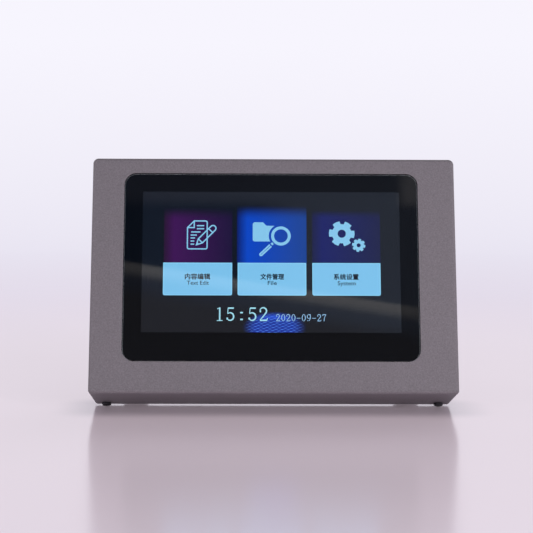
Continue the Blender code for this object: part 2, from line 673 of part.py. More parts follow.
def build_display():
    """The liquid crystal panel and the backlight can behind it."""
    make_box(
        "lcd_panel", (LCD_WIDTH, LCD_PANEL_THICKNESS, LCD_HEIGHT),
        (GLASS_CENTRE_X, TAPE_FRONT + LCD_PANEL_THICKNESS / 2, LCD_CENTRE_Z), LCD_FILM,
    )
    make_box(
        "lcd_backlight", (LCD_WIDTH, BACKLIGHT_THICKNESS, LCD_HEIGHT),
        (GLASS_CENTRE_X, BACKLIGHT_FRONT + BACKLIGHT_THICKNESS / 2, LCD_CENTRE_Z), ZINC_STEEL,
        corner=1.0 * MM, segments=2,
    )


def build_lcd_straps():
    """Two stepped straps that press the backlight against the carrier's window."""
    thickness = 0.8 * MM
    length = 40.0 * MM
    overlap = 9.0 * MM
    foot = 4.5 * MM
    for hand, side in (("left", -1), ("right", 1)):
        edge = GLASS_CENTRE_X + side * WINDOW_WIDTH / 2
        low = CARRIER_BACK + TOUCH_GAP + thickness / 2
        high = BACKLIGHT_BACK + TOUCH_GAP + thickness / 2
        path = (
            (edge - side * overlap, high), (edge + side * 1.5 * MM, high),
            (edge + side * 2.5 * MM, low), (edge + side * (2.5 * MM + foot), low),
        )
        make_strip(
            f"lcd_strap_{hand}", path, length, thickness, (0.0, 0.0, LCD_CENTRE_Z), ZINC_STEEL,
            along=2,
        )


# ---------------------------------------------------------------- main board
def standoff_places():
    """Return (x, z) for each fixing of the main board."""
    left = BOARD_LEFT + BOARD_HOLE_EDGE
    right = BOARD_LEFT + BOARD_WIDTH - BOARD_HOLE_EDGE
    low = BOARD_SILL + BOARD_HOLE_EDGE
    high = BOARD_SILL + BOARD_HEIGHT - BOARD_HOLE_EDGE
    return [(left, high), (right, high), (left, low + BOARD_HEIGHT / 3), (right, low)]


def build_main_board():
    """The control board, on standoffs behind the display, facing the rear cover."""
    board = make_box(
        "main_board", (BOARD_WIDTH, BOARD_THICKNESS, BOARD_HEIGHT),
        (BOARD_LEFT + BOARD_WIDTH / 2, BOARD_BACK - BOARD_THICKNESS / 2,
         BOARD_SILL + BOARD_HEIGHT / 2),
        BOARD_LAMINATE, corner=2.0 * MM, segments=3,
    )
    screw_profile = (
        (0.0, 1.9 * MM), (1.6 * MM, 1.9 * MM), (2.6 * MM, 1.0 * MM), (2.6 * MM, TOUCH_GAP),
        (SCREW_SHANK_RADIUS, TOUCH_GAP), (SCREW_SHANK_RADIUS, -5.0 * MM), (0.0, -5.0 * MM),
    )
    length = BOARD_SPACE - 2 * TOUCH_GAP
    for index, (x, z) in enumerate(standoff_places(), 1):
        cut(board, make_bar(
            f"board_hole_{index}", SCREW_HOLE_RADIUS, 4 * BOARD_THICKNESS,
            (x, BOARD_BACK, z), facing=(0.0, 1.0, 0.0), sides=SMALL_ROUND_STEPS))
        place = (x, COVER_BACK - TOUCH_GAP - length / 2, z)
        standoff = make_bar(
            f"board_standoff_{index}", STANDOFF_RADIUS, length, place, BRASS,
            facing=(0.0, 1.0, 0.0), sides=6,
        )
        bore_depth = 6.0 * MM
        bore_place = (x, BOARD_BACK + bore_depth / 2, z)
        cut(standoff, make_bar(
            f"standoff_bore_{index}", SCREW_HOLE_RADIUS, bore_depth + TOUCH_GAP, bore_place,
            facing=(0.0, 1.0, 0.0), sides=SMALL_ROUND_STEPS))
        make_turned(
            f"board_screw_{index}", screw_profile, (x, BOARD_FRONT, z), ZINC_STEEL,
            facing=(0.0, -1.0, 0.0), steps=SMALL_ROUND_STEPS,
        )


def build_board_components():
    """The larger parts soldered to the back of the main board."""
    heatsink_size = 28.0 * MM
    heatsink_height = 8.0 * MM
    heatsink_x = -18.0 * MM
    heatsink_z = BOARD_SILL + 49.0 * MM
    sink = make_box(
        "processor_heatsink", (heatsink_size, heatsink_height, heatsink_size),
        (heatsink_x, BOARD_BACK + TOUCH_GAP + heatsink_height / 2, heatsink_z),
        HEATSINK_ALUMINIUM,
    )
    groove = make_box(
        "heatsink_grooves", (2.4 * MM, heatsink_height, 2 * heatsink_size),
        (heatsink_x - 11.2 * MM, BOARD_BACK + TOUCH_GAP + heatsink_height / 2 + 2.0 * MM,
         heatsink_z),
    )
    array = groove.modifiers.new("grooves", "ARRAY")
    array.count = 7
    array.use_relative_offset = False
    array.use_constant_offset = True
    array.constant_offset_displace = (22.4 * MM / 6, 0.0, 0.0)
    cut(sink, groove)

    cell_radius = 10.0 * MM
    cell_thickness = 3.2 * MM
    cell_x = 24.0 * MM
    cell_z = BOARD_SILL + 44.0 * MM
    holder_height = 5.0 * MM
    holder = make_bar(
        "coin_cell_holder", cell_radius + 2.0 * MM, holder_height,
        (cell_x, BOARD_BACK + TOUCH_GAP + holder_height / 2, cell_z), BLACK_PLASTIC,
        facing=(0.0, 1.0, 0.0),
    )
    pocket_floor = BOARD_BACK + TOUCH_GAP + 1.6 * MM
    cut(holder, make_bar(
        "coin_cell_pocket", cell_radius + TOUCH_GAP, 2 * holder_height,
        (cell_x, pocket_floor + holder_height, cell_z), facing=(0.0, 1.0, 0.0)))
    make_turned(
        "coin_cell",
        ((0.0, cell_thickness), (cell_radius - 0.6 * MM, cell_thickness),
         (cell_radius, cell_thickness - 0.6 * MM), (cell_radius, 0.0), (0.0, 0.0)),
        (cell_x, pocket_floor + TOUCH_GAP, cell_z), CELL_STEEL, facing=(0.0, 1.0, 0.0),
    )

    foot = BOARD_BACK + TOUCH_GAP
    make_turned(
        "buzzer",
        ((0.0, 7.0 * MM), (1.0 * MM, 7.0 * MM), (1.0 * MM, 7.4 * MM), (5.4 * MM, 7.4 * MM),
         (6.0 * MM, 6.8 * MM), (6.0 * MM, 0.0), (0.0, 0.0)),
        (60.0 * MM, foot, BOARD_SILL + 52.0 * MM), BLACK_PLASTIC, facing=(0.0, 1.0, 0.0),
    )
    make_turned(
        "storage_capacitor",
        ((0.0, 10.4 * MM), (4.2 * MM, 10.4 * MM), (5.0 * MM, 9.8 * MM), (5.0 * MM, 2.4 * MM),
         (4.6 * MM, 2.0 * MM), (5.0 * MM, 1.6 * MM), (5.0 * MM, 0.0), (0.0, 0.0)),
        (-50.0 * MM, foot, BOARD_SILL + 56.0 * MM), BLACK_PLASTIC, facing=(0.0, 1.0, 0.0),
    )
    make_box(
        "power_choke", (12.0 * MM, 6.5 * MM, 12.0 * MM),
        (-50.0 * MM, foot + 3.25 * MM, BOARD_SILL + 38.0 * MM), BLACK_PLASTIC,
        corner=3.0 * MM, segments=3,
    )


def build_ribbons():
    """Flat cables from the display and the touch glass to sockets on the board's front."""
    socket_height = 3.0 * MM
    socket_depth = 5.0 * MM
    film = 0.4 * MM
    for name, x, width, start_z, socket_z in (
        ("display_ribbon", -10.0 * MM, 26.0 * MM, 46.0 * MM, 60.0 * MM),
        ("touch_ribbon", 38.0 * MM, 8.0 * MM, 40.0 * MM, 52.0 * MM),
    ):
        socket_y = BOARD_FRONT - TOUCH_GAP - socket_height / 2
        make_box(
            f"{name}_socket", (width + 4.0 * MM, socket_height, socket_depth),
            (x, socket_y, socket_z), BLACK_PLASTIC,
        )
        near_display = BACKLIGHT_BACK + TOUCH_GAP + film
        sweep = 8.0 * MM
        path = (
            (near_display, start_z), (near_display, start_z - sweep),
            ((near_display + socket_y) / 2, start_z - 2 * sweep),
            (socket_y, start_z - sweep), (socket_y, socket_z - socket_depth / 2 - TOUCH_GAP),
        )
        make_strip(
            name, path, width, film, (x, 0.0, 0.0), RIBBON_FILM, bend_radius=3.0 * MM
        )


# ---------------------------------------------------------------- ports
def socket_places():
    """Return (name, x) for each round signal socket."""
    return [(name, SOCKET_FIRST_X + SOCKET_PITCH * index)
            for index, name in enumerate(SOCKET_NAMES)]


def jackscrew_places():
    """Return x for each jackscrew of the printhead port."""
    return [PRINTHEAD_PORT_X + side * JACKSCREW_SPACING / 2 for side in (-1, 1)]


def build_printhead_port():
    """The D-shaped connector for the printhead cable and its hexagon jackscrews."""
    flange_y = TOUCH_GAP + PRINTHEAD_FLANGE_THICKNESS / 2
    port = make_box(
        "printhead_port", (PRINTHEAD_FLANGE[0], PRINTHEAD_FLANGE_THICKNESS, PRINTHEAD_FLANGE[1]),
        (PRINTHEAD_PORT_X, flange_y, PORT_ROW), NICKEL, corner=1.5 * MM, segments=3,
    )
    reach = PRINTHEAD_SHELL_PROJECTION + PRINTHEAD_FLANGE_THICKNESS / 2
    shape = bmesh.new()
    size = (PRINTHEAD_SHELL[0], reach, PRINTHEAD_SHELL[1])
    bmesh.ops.create_cube(shape, size=1.0, matrix=Matrix.Diagonal((*size, 1.0)))
    slant = PRINTHEAD_SHELL[1] * math.tan(math.radians(10.0))
    for vert in shape.verts:
        if vert.co.z < 0.0:
            vert.co.x -= math.copysign(slant, vert.co.x)
    slanted = [edge for edge in shape.edges
               if abs((edge.verts[1].co - edge.verts[0].co).y) > 0.9 * reach]
    round_edges(shape, slanted, 2.2 * MM, 4)
    shell = add_object(
        "printhead_shell", finish_mesh(shape, "printhead_shell"),
        (PRINTHEAD_PORT_X, flange_y + reach / 2, PORT_ROW), None,
    )
    join(port, shell)
    body_depth = -PORT_FOOT - 1.2 * MM
    body = make_box(
        "printhead_body", (PRINTHEAD_BODY[0], body_depth + flange_y, PRINTHEAD_BODY[1]),
        (PRINTHEAD_PORT_X, flange_y - (body_depth + flange_y) / 2, PORT_ROW),
    )
    join(port, body)
    for x in jackscrew_places():
        cut(port, make_bar(
            f"port_hole_{'left' if x < PRINTHEAD_PORT_X else 'right'}",
            SCREW_HOLE_RADIUS, 4 * PRINTHEAD_FLANGE_THICKNESS, (x, flange_y, PORT_ROW),
            facing=(0.0, 1.0, 0.0), sides=SMALL_ROUND_STEPS))
        hand = "left" if x < PRINTHEAD_PORT_X else "right"
        seat = TOUCH_GAP + PRINTHEAD_FLANGE_THICKNESS + TOUCH_GAP
        screw = make_bar(
            f"jackscrew_{hand}", JACKSCREW_RADIUS, JACKSCREW_HEIGHT,
            (x, seat + JACKSCREW_HEIGHT / 2, PORT_ROW), ZINC_STEEL,
            facing=(0.0, 1.0, 0.0), sides=6,
        )
        shank = 8.0 * MM
        join(screw, make_bar(
            f"jackscrew_shank_{hand}", SCREW_SHANK_RADIUS, shank,
            (x, seat + 1.0 * MM - shank / 2, PORT_ROW), facing=(0.0, 1.0, 0.0),
            sides=SMALL_ROUND_STEPS))


def build_board_ports():
    """The USB and network ports, upright on the board and open at the rear cover."""
    middle = (PORT_FOOT + PORT_PROJECTION) / 2
    pocket_depth = PORT_DEPTH - PORT_WALL_DEPTH
    pocket_middle = PORT_PROJECTION - pocket_depth / 2 + CUT_MARGIN / 2

    usb = make_box(
        "usb_port", (USB_SIZE[0], PORT_DEPTH, USB_SIZE[1]), (USB_X, middle, PORT_ROW), NICKEL,
        corner=0.6 * MM, segments=2,
    )
    cut(usb, make_box(
        "usb_mouth", (USB_MOUTH[0], pocket_depth + CUT_MARGIN, USB_MOUTH[1]),
        (USB_X, pocket_middle, PORT_ROW)))
    tongue_depth = pocket_depth - 1.0 * MM + PORT_WALL_DEPTH / 2
    join(usb, make_box(
        "usb_tongue", (USB_TONGUE[0], tongue_depth, USB_TONGUE[1]),
        (USB_X, PORT_FOOT + PORT_WALL_DEPTH / 2 + tongue_depth / 2,
         PORT_ROW + USB_MOUTH[1] / 2 - 0.5 * MM - USB_TONGUE[1] / 2)))

    jack = make_box(
        "ethernet_port", (ETHERNET_SIZE[0], PORT_DEPTH, ETHERNET_SIZE[1]),
        (ETHERNET_X, middle, PORT_ROW), NICKEL,
    )
    mouth_z = PORT_ROW - 0.8 * MM
    cut(jack, make_box(
        "ethernet_mouth", (ETHERNET_MOUTH[0], pocket_depth + CUT_MARGIN, ETHERNET_MOUTH[1]),
        (ETHERNET_X, pocket_middle, mouth_z)))
    cut(jack, make_box(
        "ethernet_latch", (ETHERNET_LATCH[0], pocket_depth + CUT_MARGIN, 2 * ETHERNET_LATCH[1]),
        (ETHERNET_X, pocket_middle, mouth_z + ETHERNET_MOUTH[1] / 2)))


def build_round_sockets():
    """Threaded signal sockets with their nuts inside the cover."""
    flange_top = TOUCH_GAP + SOCKET_FLANGE_THICKNESS
    barrel_top = flange_top + SOCKET_BARREL_LENGTH
    profile = (
        (0.0, barrel_top - SOCKET_INSERT_RECESS),
        (SOCKET_INSERT_RADIUS, barrel_top - SOCKET_INSERT_RECESS),
        (SOCKET_INSERT_RADIUS, barrel_top), (SOCKET_BARREL_RADIUS, barrel_top),
        (SOCKET_BARREL_RADIUS, flange_top), (SOCKET_FLANGE_RADIUS, flange_top),
        (SOCKET_FLANGE_RADIUS, TOUCH_GAP), (SOCKET_BARREL_RADIUS, TOUCH_GAP),
        (SOCKET_BARREL_RADIUS, -SOCKET_BODY_DEPTH), (0.0, -SOCKET_BODY_DEPTH),
    )
    for name, x in socket_places():
        make_turned(name, profile, (x, 0.0, PORT_ROW), NICKEL, facing=(0.0, 1.0, 0.0))
        add_panel_nut(f"{name}_nut", x, PORT_ROW)


def add_panel_nut(name, x, z):
    """A hexagon nut against the inside of the rear cover."""
    place = (x, COVER_BACK - TOUCH_GAP - SOCKET_NUT_THICKNESS / 2, z)
    nut = make_bar(
        name, SOCKET_NUT_RADIUS, SOCKET_NUT_THICKNESS, place, NICKEL, facing=(0.0, 1.0, 0.0),
        sides=6,
    )
    cut(nut, make_bar(
        f"{name}_bore", SOCKET_BARREL_RADIUS + TOUCH_GAP, 2 * SOCKET_NUT_THICKNESS, place,
        facing=(0.0, 1.0, 0.0)))


def build_power_socket():
    """The direct current inlet, with its centre pin, and its nut."""
    flange_top = TOUCH_GAP + SOCKET_FLANGE_THICKNESS
    barrel_top = flange_top + POWER_SOCKET_BARREL_LENGTH
    pin_top = barrel_top - POWER_SOCKET_PIN_RECESS
    floor = barrel_top - POWER_SOCKET_BORE_DEPTH
    profile = (
        (0.0, pin_top), (POWER_SOCKET_PIN, pin_top), (POWER_SOCKET_PIN, floor),
        (POWER_SOCKET_BORE, floor), (POWER_SOCKET_BORE, barrel_top),
        (SOCKET_BARREL_RADIUS, barrel_top), (SOCKET_BARREL_RADIUS, flange_top),
        (SOCKET_FLANGE_RADIUS, flange_top), (SOCKET_FLANGE_RADIUS, TOUCH_GAP),
        (SOCKET_BARREL_RADIUS, TOUCH_GAP), (SOCKET_BARREL_RADIUS, -SOCKET_BODY_DEPTH),
        (0.0, -SOCKET_BODY_DEPTH),
    )
    make_turned(
        "power_socket", profile, (POWER_COLUMN_X, 0.0, POWER_SOCKET_Z), BLACK_PLASTIC,
        facing=(0.0, 1.0, 0.0),
    )
    add_panel_nut("power_socket_nut", POWER_COLUMN_X, POWER_SOCKET_Z)


def build_power_switch():
    """The rocker switch: a bezelled body in the cover and the rocker on its pivot."""
    bezel_y = TOUCH_GAP + SWITCH_BEZEL[1] / 2
    body = make_box(
        "switch_body", SWITCH_BEZEL, (POWER_COLUMN_X, bezel_y, SWITCH_Z), BLACK_PLASTIC,
        corner=1.2 * MM, segments=3,
    )
    join(body, make_box(
        "switch_case", SWITCH_BODY, (POWER_COLUMN_X, bezel_y - SWITCH_BODY[1] / 2, SWITCH_Z)))
    well = ROCKER_RADIUS + ROCKER_CLEARANCE
    cut(body, make_box(
        "rocker_well", (ROCKER_WIDTH + 2 * ROCKER_CLEARANCE, 2 * well, 2 * well),
        (POWER_COLUMN_X, ROCKER_PIVOT_Y, SWITCH_Z)))

    shape = bmesh.new()
    outline = [(ROCKER_VALLEY, 0.0)]
    arc_steps = 14
    start = -ROCKER_END_ANGLE
    sweep = math.pi + 2 * ROCKER_END_ANGLE
    for index in range(arc_steps + 1):
        angle = start + sweep * index / arc_steps
        outline.append((-ROCKER_RADIUS * math.sin(angle), ROCKER_RADIUS * math.cos(angle)))
    verts = [shape.verts.new((-ROCKER_WIDTH / 2, y, z)) for y, z in outline]
    face = shape.faces.new(verts)
    swept = bmesh.ops.extrude_face_region(shape, geom=[face])
    moved = [part for part in swept["geom"] if isinstance(part, bmesh.types.BMVert)]
    bmesh.ops.translate(shape, verts=moved, vec=(ROCKER_WIDTH, 0.0, 0.0))
    bmesh.ops.recalc_face_normals(shape, faces=shape.faces)
    add_object(
        "switch_rocker", finish_mesh(shape, "switch_rocker", 30.0), (0.0, 0.0, 0.0),
        BLACK_PLASTIC, ROCKER_FRAME,
    )


def build_earth_stud():
    """The earthing screw on the rear cover."""
    profile = (
        (0.0, EARTH_HEAD_HEIGHT + TOUCH_GAP), (EARTH_HEAD_RADIUS * 0.7, EARTH_HEAD_HEIGHT
                                               + TOUCH_GAP),
        (EARTH_HEAD_RADIUS, EARTH_HEAD_HEIGHT * 0.6), (EARTH_HEAD_RADIUS, 1.0 * MM),
        (EARTH_HEAD_RADIUS * 1.35, 1.0 * MM), (EARTH_HEAD_RADIUS * 1.35, TOUCH_GAP),
        (SCREW_SHANK_RADIUS, TOUCH_GAP), (SCREW_SHANK_RADIUS, -9.0 * MM), (0.0, -9.0 * MM),
    )
    make_turned(
        "earth_stud", profile, (EARTH_STUD_X, 0.0, EARTH_STUD_Z), BRASS, facing=(0.0, 1.0, 0.0)
    )


# ---------------------------------------------------------------- stand
def build_stand():
    """The folding sheet stand: two legs on knuckles, joined by a crossbar."""
    leg_end = STAND_LENGTH - FOOT_PAD_SOLE
    stand = make_box(
        "stand_frame",
        (2 * STAND_LEG_X + STAND_LEG_WIDTH, STAND_SHEET, STAND_CROSSBAR_HEIGHT),
        (0.0, 0.0, -STAND_CROSSBAR_TOP - STAND_CROSSBAR_HEIGHT / 2), STAND_STEEL, STAND_FRAME,
    )
    bore_radius = HINGE_PIN_RADIUS + HINGE_RUNNING_CLEARANCE
    bore_radius /= math.cos(math.pi / ROUND_STEPS)
    for hand, side in (("left", -1), ("right", 1)):
        x = side * STAND_LEG_X
        join(stand, make_box(
            f"stand_leg_{hand}", (STAND_LEG_WIDTH, STAND_SHEET, leg_end - KNUCKLE_RADIUS / 2),
            (x, 0.0, -(leg_end + KNUCKLE_RADIUS / 2) / 2), parent=STAND_FRAME))
        join(stand, make_bar(
            f"stand_knuckle_{hand}", KNUCKLE_RADIUS, STAND_LEG_WIDTH, (x, 0.0, 0.0),
            parent=STAND_FRAME, facing=(1.0, 0.0, 0.0)))
        cut(stand, make_bar(
            f"stand_bore_{hand}", bore_radius, 2 * STAND_LEG_WIDTH, (x, 0.0, 0.0),
            parent=STAND_FRAME, facing=(1.0, 0.0, 0.0)))


def build_hinges():
    """Clevis brackets on the rear cover and the pins that carry the stand."""
    inner = STAND_LEG_WIDTH / 2 + KNUCKLE_SIDE_CLEARANCE
    outer = inner + BRACKET_WALL
    lug_reach = HINGE_OUT - TOUCH_GAP
    pin_overhang = 0.8 * MM
    bore_radius = HINGE_PIN_RADIUS + HINGE_RUNNING_CLEARANCE
    bore_radius /= math.cos(math.pi / ROUND_STEPS)
    for hand, side in (("left", -1), ("right", 1)):
        x = side * STAND_LEG_X
        bracket = make_box(
            f"hinge_bracket_{hand}", (2 * outer, BRACKET_WALL, BRACKET_HEIGHT),
            (x, TOUCH_GAP + BRACKET_WALL / 2, HINGE_HEIGHT), STAND_STEEL,
        )
        for edge, lug_side in (("inner", -side), ("outer", side)):
            lug_x = x + lug_side * (inner + BRACKET_WALL / 2)
            join(bracket, make_box(
                f"hinge_web_{hand}_{edge}",
                (BRACKET_WALL, lug_reach, 2 * BRACKET_LUG_RADIUS),
                (lug_x, TOUCH_GAP + lug_reach / 2, HINGE_HEIGHT)))
            join(bracket, make_bar(
                f"hinge_lug_{hand}_{edge}", BRACKET_LUG_RADIUS, BRACKET_WALL,
                (lug_x, HINGE_OUT, HINGE_HEIGHT), facing=(1.0, 0.0, 0.0)))
        cut(bracket, make_bar(
            f"hinge_bore_{hand}", bore_radius, 4 * outer, (x, HINGE_OUT, HINGE_HEIGHT),
            facing=(1.0, 0.0, 0.0)))
        make_bar(
            f"hinge_pin_{hand}", HINGE_PIN_RADIUS, 2 * (outer + pin_overhang),
            (x, HINGE_OUT, HINGE_HEIGHT), ZINC_STEEL, facing=(1.0, 0.0, 0.0),
        )


def build_foot_pads():
    """Rubber shoes on the legs, cut so that their soles lie flat on the floor."""
    width = STAND_LEG_WIDTH + 2 * FOOT_PAD_SIDE
    depth = 2 * FOOT_PAD_HALF_THICKNESS
    top = -STAND_LENGTH + FOOT_PAD_HEIGHT
    for hand, side in (("left", -1), ("right", 1)):
        shape = bmesh.new()
        bmesh.ops.create_cube(shape, size=1.0, matrix=Matrix.Diagonal((width, depth, 1.0, 1.0)))
        for vert in shape.verts:
            vert.co.z = top if vert.co.z > 0.0 else sole_height(vert.co.y)
        name = f"foot_pad_{hand}"
        pad = add_object(
            name, finish_mesh(shape, name), (side * STAND_LEG_X, 0.0, 0.0), RUBBER, STAND_FRAME
        )
        pocket_bottom = -STAND_LENGTH + FOOT_PAD_SOLE - TOUCH_GAP
        pocket_height = top + CUT_MARGIN - pocket_bottom
        cut(pad, make_box(
            f"foot_pocket_{hand}",
            (STAND_LEG_WIDTH + 2 * TOUCH_GAP, STAND_SHEET + 2 * TOUCH_GAP, pocket_height),
            (side * STAND_LEG_X, 0.0, pocket_bottom + pocket_height / 2), parent=STAND_FRAME))


def main():
    """Build every sub-part in the order that the machine is put together."""
    build_front_housing()
    build_glass()
    build_glass_tape()
    build_display_carrier()
    build_carrier_nuts()
    build_display()
    build_lcd_straps()
    build_ribbons()
    build_main_board()
    build_board_components()
    build_rear_cover()
    build_printhead_port()
    build_board_ports()
    build_round_sockets()
    build_power_socket()
    build_power_switch()
    build_earth_stud()
    build_hinges()
    build_stand()
    build_foot_pads()
    build_cover_screws()


main()
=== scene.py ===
"""Date code inkjet printer: the finished look of its touch-screen controller.

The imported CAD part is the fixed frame.  Every visible piece is rebuilt here in finer mesh around
it: shapes are drawn in millimetres in the upright frame of their own body (x right, y back from
the rear cover's face, z up from the underside of the box) and then baked into the row frame.
"""
import json
import logging
from abc import ABC, abstractmethod
from dataclasses import dataclass
from enum import Enum
from functools import partial
from math import atan2, copysign, cos, degrees, pi, radians, sin, tan, tau
from typing import Any, Callable, Mapping, Sequence

import bmesh
import bpy
from mathutils import Matrix, Vector


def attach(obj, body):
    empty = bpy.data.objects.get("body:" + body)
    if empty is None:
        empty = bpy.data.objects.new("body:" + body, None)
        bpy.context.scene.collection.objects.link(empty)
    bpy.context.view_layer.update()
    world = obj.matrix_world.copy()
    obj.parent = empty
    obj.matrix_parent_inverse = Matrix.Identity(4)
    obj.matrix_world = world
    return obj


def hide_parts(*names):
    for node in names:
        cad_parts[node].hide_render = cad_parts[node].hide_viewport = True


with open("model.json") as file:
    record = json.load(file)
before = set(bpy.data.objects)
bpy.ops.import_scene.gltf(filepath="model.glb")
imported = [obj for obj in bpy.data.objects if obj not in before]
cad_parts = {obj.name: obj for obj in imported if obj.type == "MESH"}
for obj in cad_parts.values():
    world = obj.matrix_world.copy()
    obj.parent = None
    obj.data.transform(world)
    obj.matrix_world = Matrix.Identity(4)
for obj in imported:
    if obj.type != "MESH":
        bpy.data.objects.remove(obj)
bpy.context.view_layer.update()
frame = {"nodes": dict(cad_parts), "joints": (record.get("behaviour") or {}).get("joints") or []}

LOG = logging.getLogger("controller")
MM = 0.001
LEAN = 16.0                 # degrees that the box leans back
HINGE_AT = (0.0, 5.4, 100.0)
ROCKER_AT = (-71.5, 0.2, 43.0)
ROCKER_REST = 12.0          # degrees that the rocker is tipped at rest
STAND_OPENING = 33.754      # degrees from the rear cover to the stand

Point = tuple[float, float]
Place = tuple[float, float, float]
Span = tuple[float, float, float, float]
Socket = bpy.types.NodeSocket
Node = bpy.types.Node
Tree = bpy.types.NodeTree
Adder = Callable[..., Node]
Form = bmesh.types.BMesh
Item = bpy.types.Object
ORIGIN = (0.0, 0.0, 0.0)
BEND_STEPS = 8              # faces across a fold of the sheet
TRAY_CORNER_STEPS = 10      # faces round a corner of a folded tray
MERGE_MM = 0.0005           # points nearer than this are one point
TURNED_SMOOTH = 28.0        # degrees; turned shapes are shaded smooth over smaller edges
FOLDED_SMOOTH = 30.0        # degrees; the same for folded sheet
SOFTENED_SHARP = 62.0       # degrees; edges that stay sharp after they are broken
RUBBER_SHARP = 40.0         # degrees; the same for the grooved feet
COVER_FACE = 0.3            # y of the rear cover's outer face
CARD_TURN = 62.0            # degrees that the studio's card is tipped


# ---------------------------------------------------------------- named options
class Body(Enum):
    """The moving bodies of the part."""

    HOUSING = "housing"
    STAND = "stand"
    ROCKER = "rocker"


class Slot(Enum):
    """The record's material slots."""

    HOUSING_PAINT = "housing_paint"
    COVER_PAINT = "cover_paint"
    BLACK_GLASS = "black_glass"
    BLACK_FOAM = "black_foam"
    ZINC_STEEL = "zinc_steel"
    SCREW_STEEL = "screw_steel"
    NICKEL = "nickel"
    STAND_STEEL = "stand_steel"
    LCD_FILM = "lcd_film"
    BOARD_LAMINATE = "board_laminate"
    BLACK_PLASTIC = "black_plastic"
    ROCKER_PLASTIC = "rocker_plastic"
    RIBBON_FILM = "ribbon_film"
    HEATSINK_ALUMINIUM = "heatsink_aluminium"
    CELL_STEEL = "cell_steel"
    BRASS = "brass"
    RUBBER = "rubber"


class Facing(Enum):
    """The way that the axis of a turned or extruded shape points."""

    UP = (0.0, 0.0, 1.0)
    DOWN = (0.0, 0.0, -1.0)
    BACK = (0.0, 1.0, 0.0)
    FRONT = (0.0, -1.0, 0.0)
    RIGHT = (1.0, 0.0, 0.0)


# ---------------------------------------------------------------- frames
def rotation(angle: float, axis: str) -> Matrix:
    """Return the turn by an angle in degrees about one axis."""
    return Matrix.Rotation(radians(angle), 4, axis)


def body_frames(joints: Sequence[Mapping[str, Any]]) -> dict[Body, Matrix]:
    """Find the millimetre frame of each body from the place of the stand's joint.

    Args:
        joints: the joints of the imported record.

    Returns:
        For each body, the matrix from its upright millimetre frame to the row frame.
    """
    hinge = next(joint for joint in joints if joint["name"] == "stand_fold")
    lean = rotation(-LEAN, "X")
    box = (Matrix.Translation(hinge["pos_m"]) @ lean @ Matrix.Scale(MM, 4)
        @ Matrix.Translation(-Vector(HINGE_AT)))
    stand = box @ Matrix.Translation(HINGE_AT) @ rotation(STAND_OPENING, "X")
    rocker = box @ Matrix.Translation(ROCKER_AT) @ rotation(-ROCKER_REST, "X")
    return {Body.HOUSING: box, Body.STAND: stand, Body.ROCKER: rocker}


FRAMES = body_frames(frame["joints"])


# ---------------------------------------------------------------- nodes
def add_node(tree: Tree, kind: str, inputs: Mapping[Any, Any] | None = None, **settings: Any) -> Node:
    """Add a node with its settings, its links and its socket values.

    Args:
        tree: the shader or geometry tree to add to.
        kind: the node's type; a shader node's may leave out its first word, ShaderNode.
        inputs: what its inputs are fed with, by name or index.
        settings: the node's own properties.

    Returns:
        The new node.
    """
    node = tree.nodes.new(kind if "Node" in kind else "ShaderNode" + kind)
    for key, value in settings.items():
        setattr(node, key, value)
    feed(node, inputs or {})
    return node


def feed(node: Node, inputs: Mapping[Any, Any]) -> None:
    """Link or set some of a node's inputs.

    Args:
        node: the node to feed.
        inputs: for each input's name or index, a node whose first output in use is linked, a
            socket that is linked, or a value that is set, where a colour may be a hex code.
    """
    for key, value in inputs.items():
        if isinstance(value, Node):
            value = next(socket for socket in value.outputs if socket.enabled)
        if isinstance(value, Socket):
            node.id_data.links.new(value, node.inputs[key])
        else:
            is_colour = isinstance(value, str) and value.startswith("#")
            node.inputs[key].default_value = linear(value) if is_colour else value


def linear(code: str) -> Span:
    """Turn an sRGB hex colour into the linear colour that Blender works in.

    Args:
        code: the colour as #rrggbb.

    Returns:
        Linear red, green and blue, and an alpha of 1.
    """
    channels = [int(code[start:start + 2], 16) / 255 for start in (1, 3, 5)]
    return (*(c / 12.92 if c <= 0.04045 else ((c + 0.055) / 1.055) ** 2.4 for c in channels), 1.0)


def per_mm(size: float) -> float:
    """Return a texture's scale, in waves a metre, for a feature of that many millimetres."""
    return 1.0 / (size * MM)


# ---------------------------------------------------------------- finishes
SCREEN_MAP = "screen_mm"     # the UV map of what the screen shows, in millimetres
UNLIT = "#05060a"            # what leaks through closed cells
GLASS_LOSS = 1.09            # makes up for what the cover glass takes from the screen's light
FILM_ROUGHNESS = 0.03


@dataclass(frozen=True)
class Finish(ABC):
    """A real material and the way its surface was made."""

    name: str
    slot: Slot

    def material(self) -> bpy.types.Material:
        """Return the finish as a material, built the first time that it is asked for.

        Returns:
            The material, the same one each time.
        """
        found = bpy.data.materials.get(self.name)
        if found:
            return found
        made = bpy.data.materials.new(self.name)
        made.use_nodes = True
        tree = made.node_tree
        self.paint(partial(add_node, tree), tree.nodes["Principled BSDF"])
        return made

    @abstractmethod
    def paint(self, add: Adder, shader: Node) -> None:
        """Add this finish's nodes to a new material.

        Args:
            add: adds a node to the material's tree.
            shader: its Principled shader.
        """


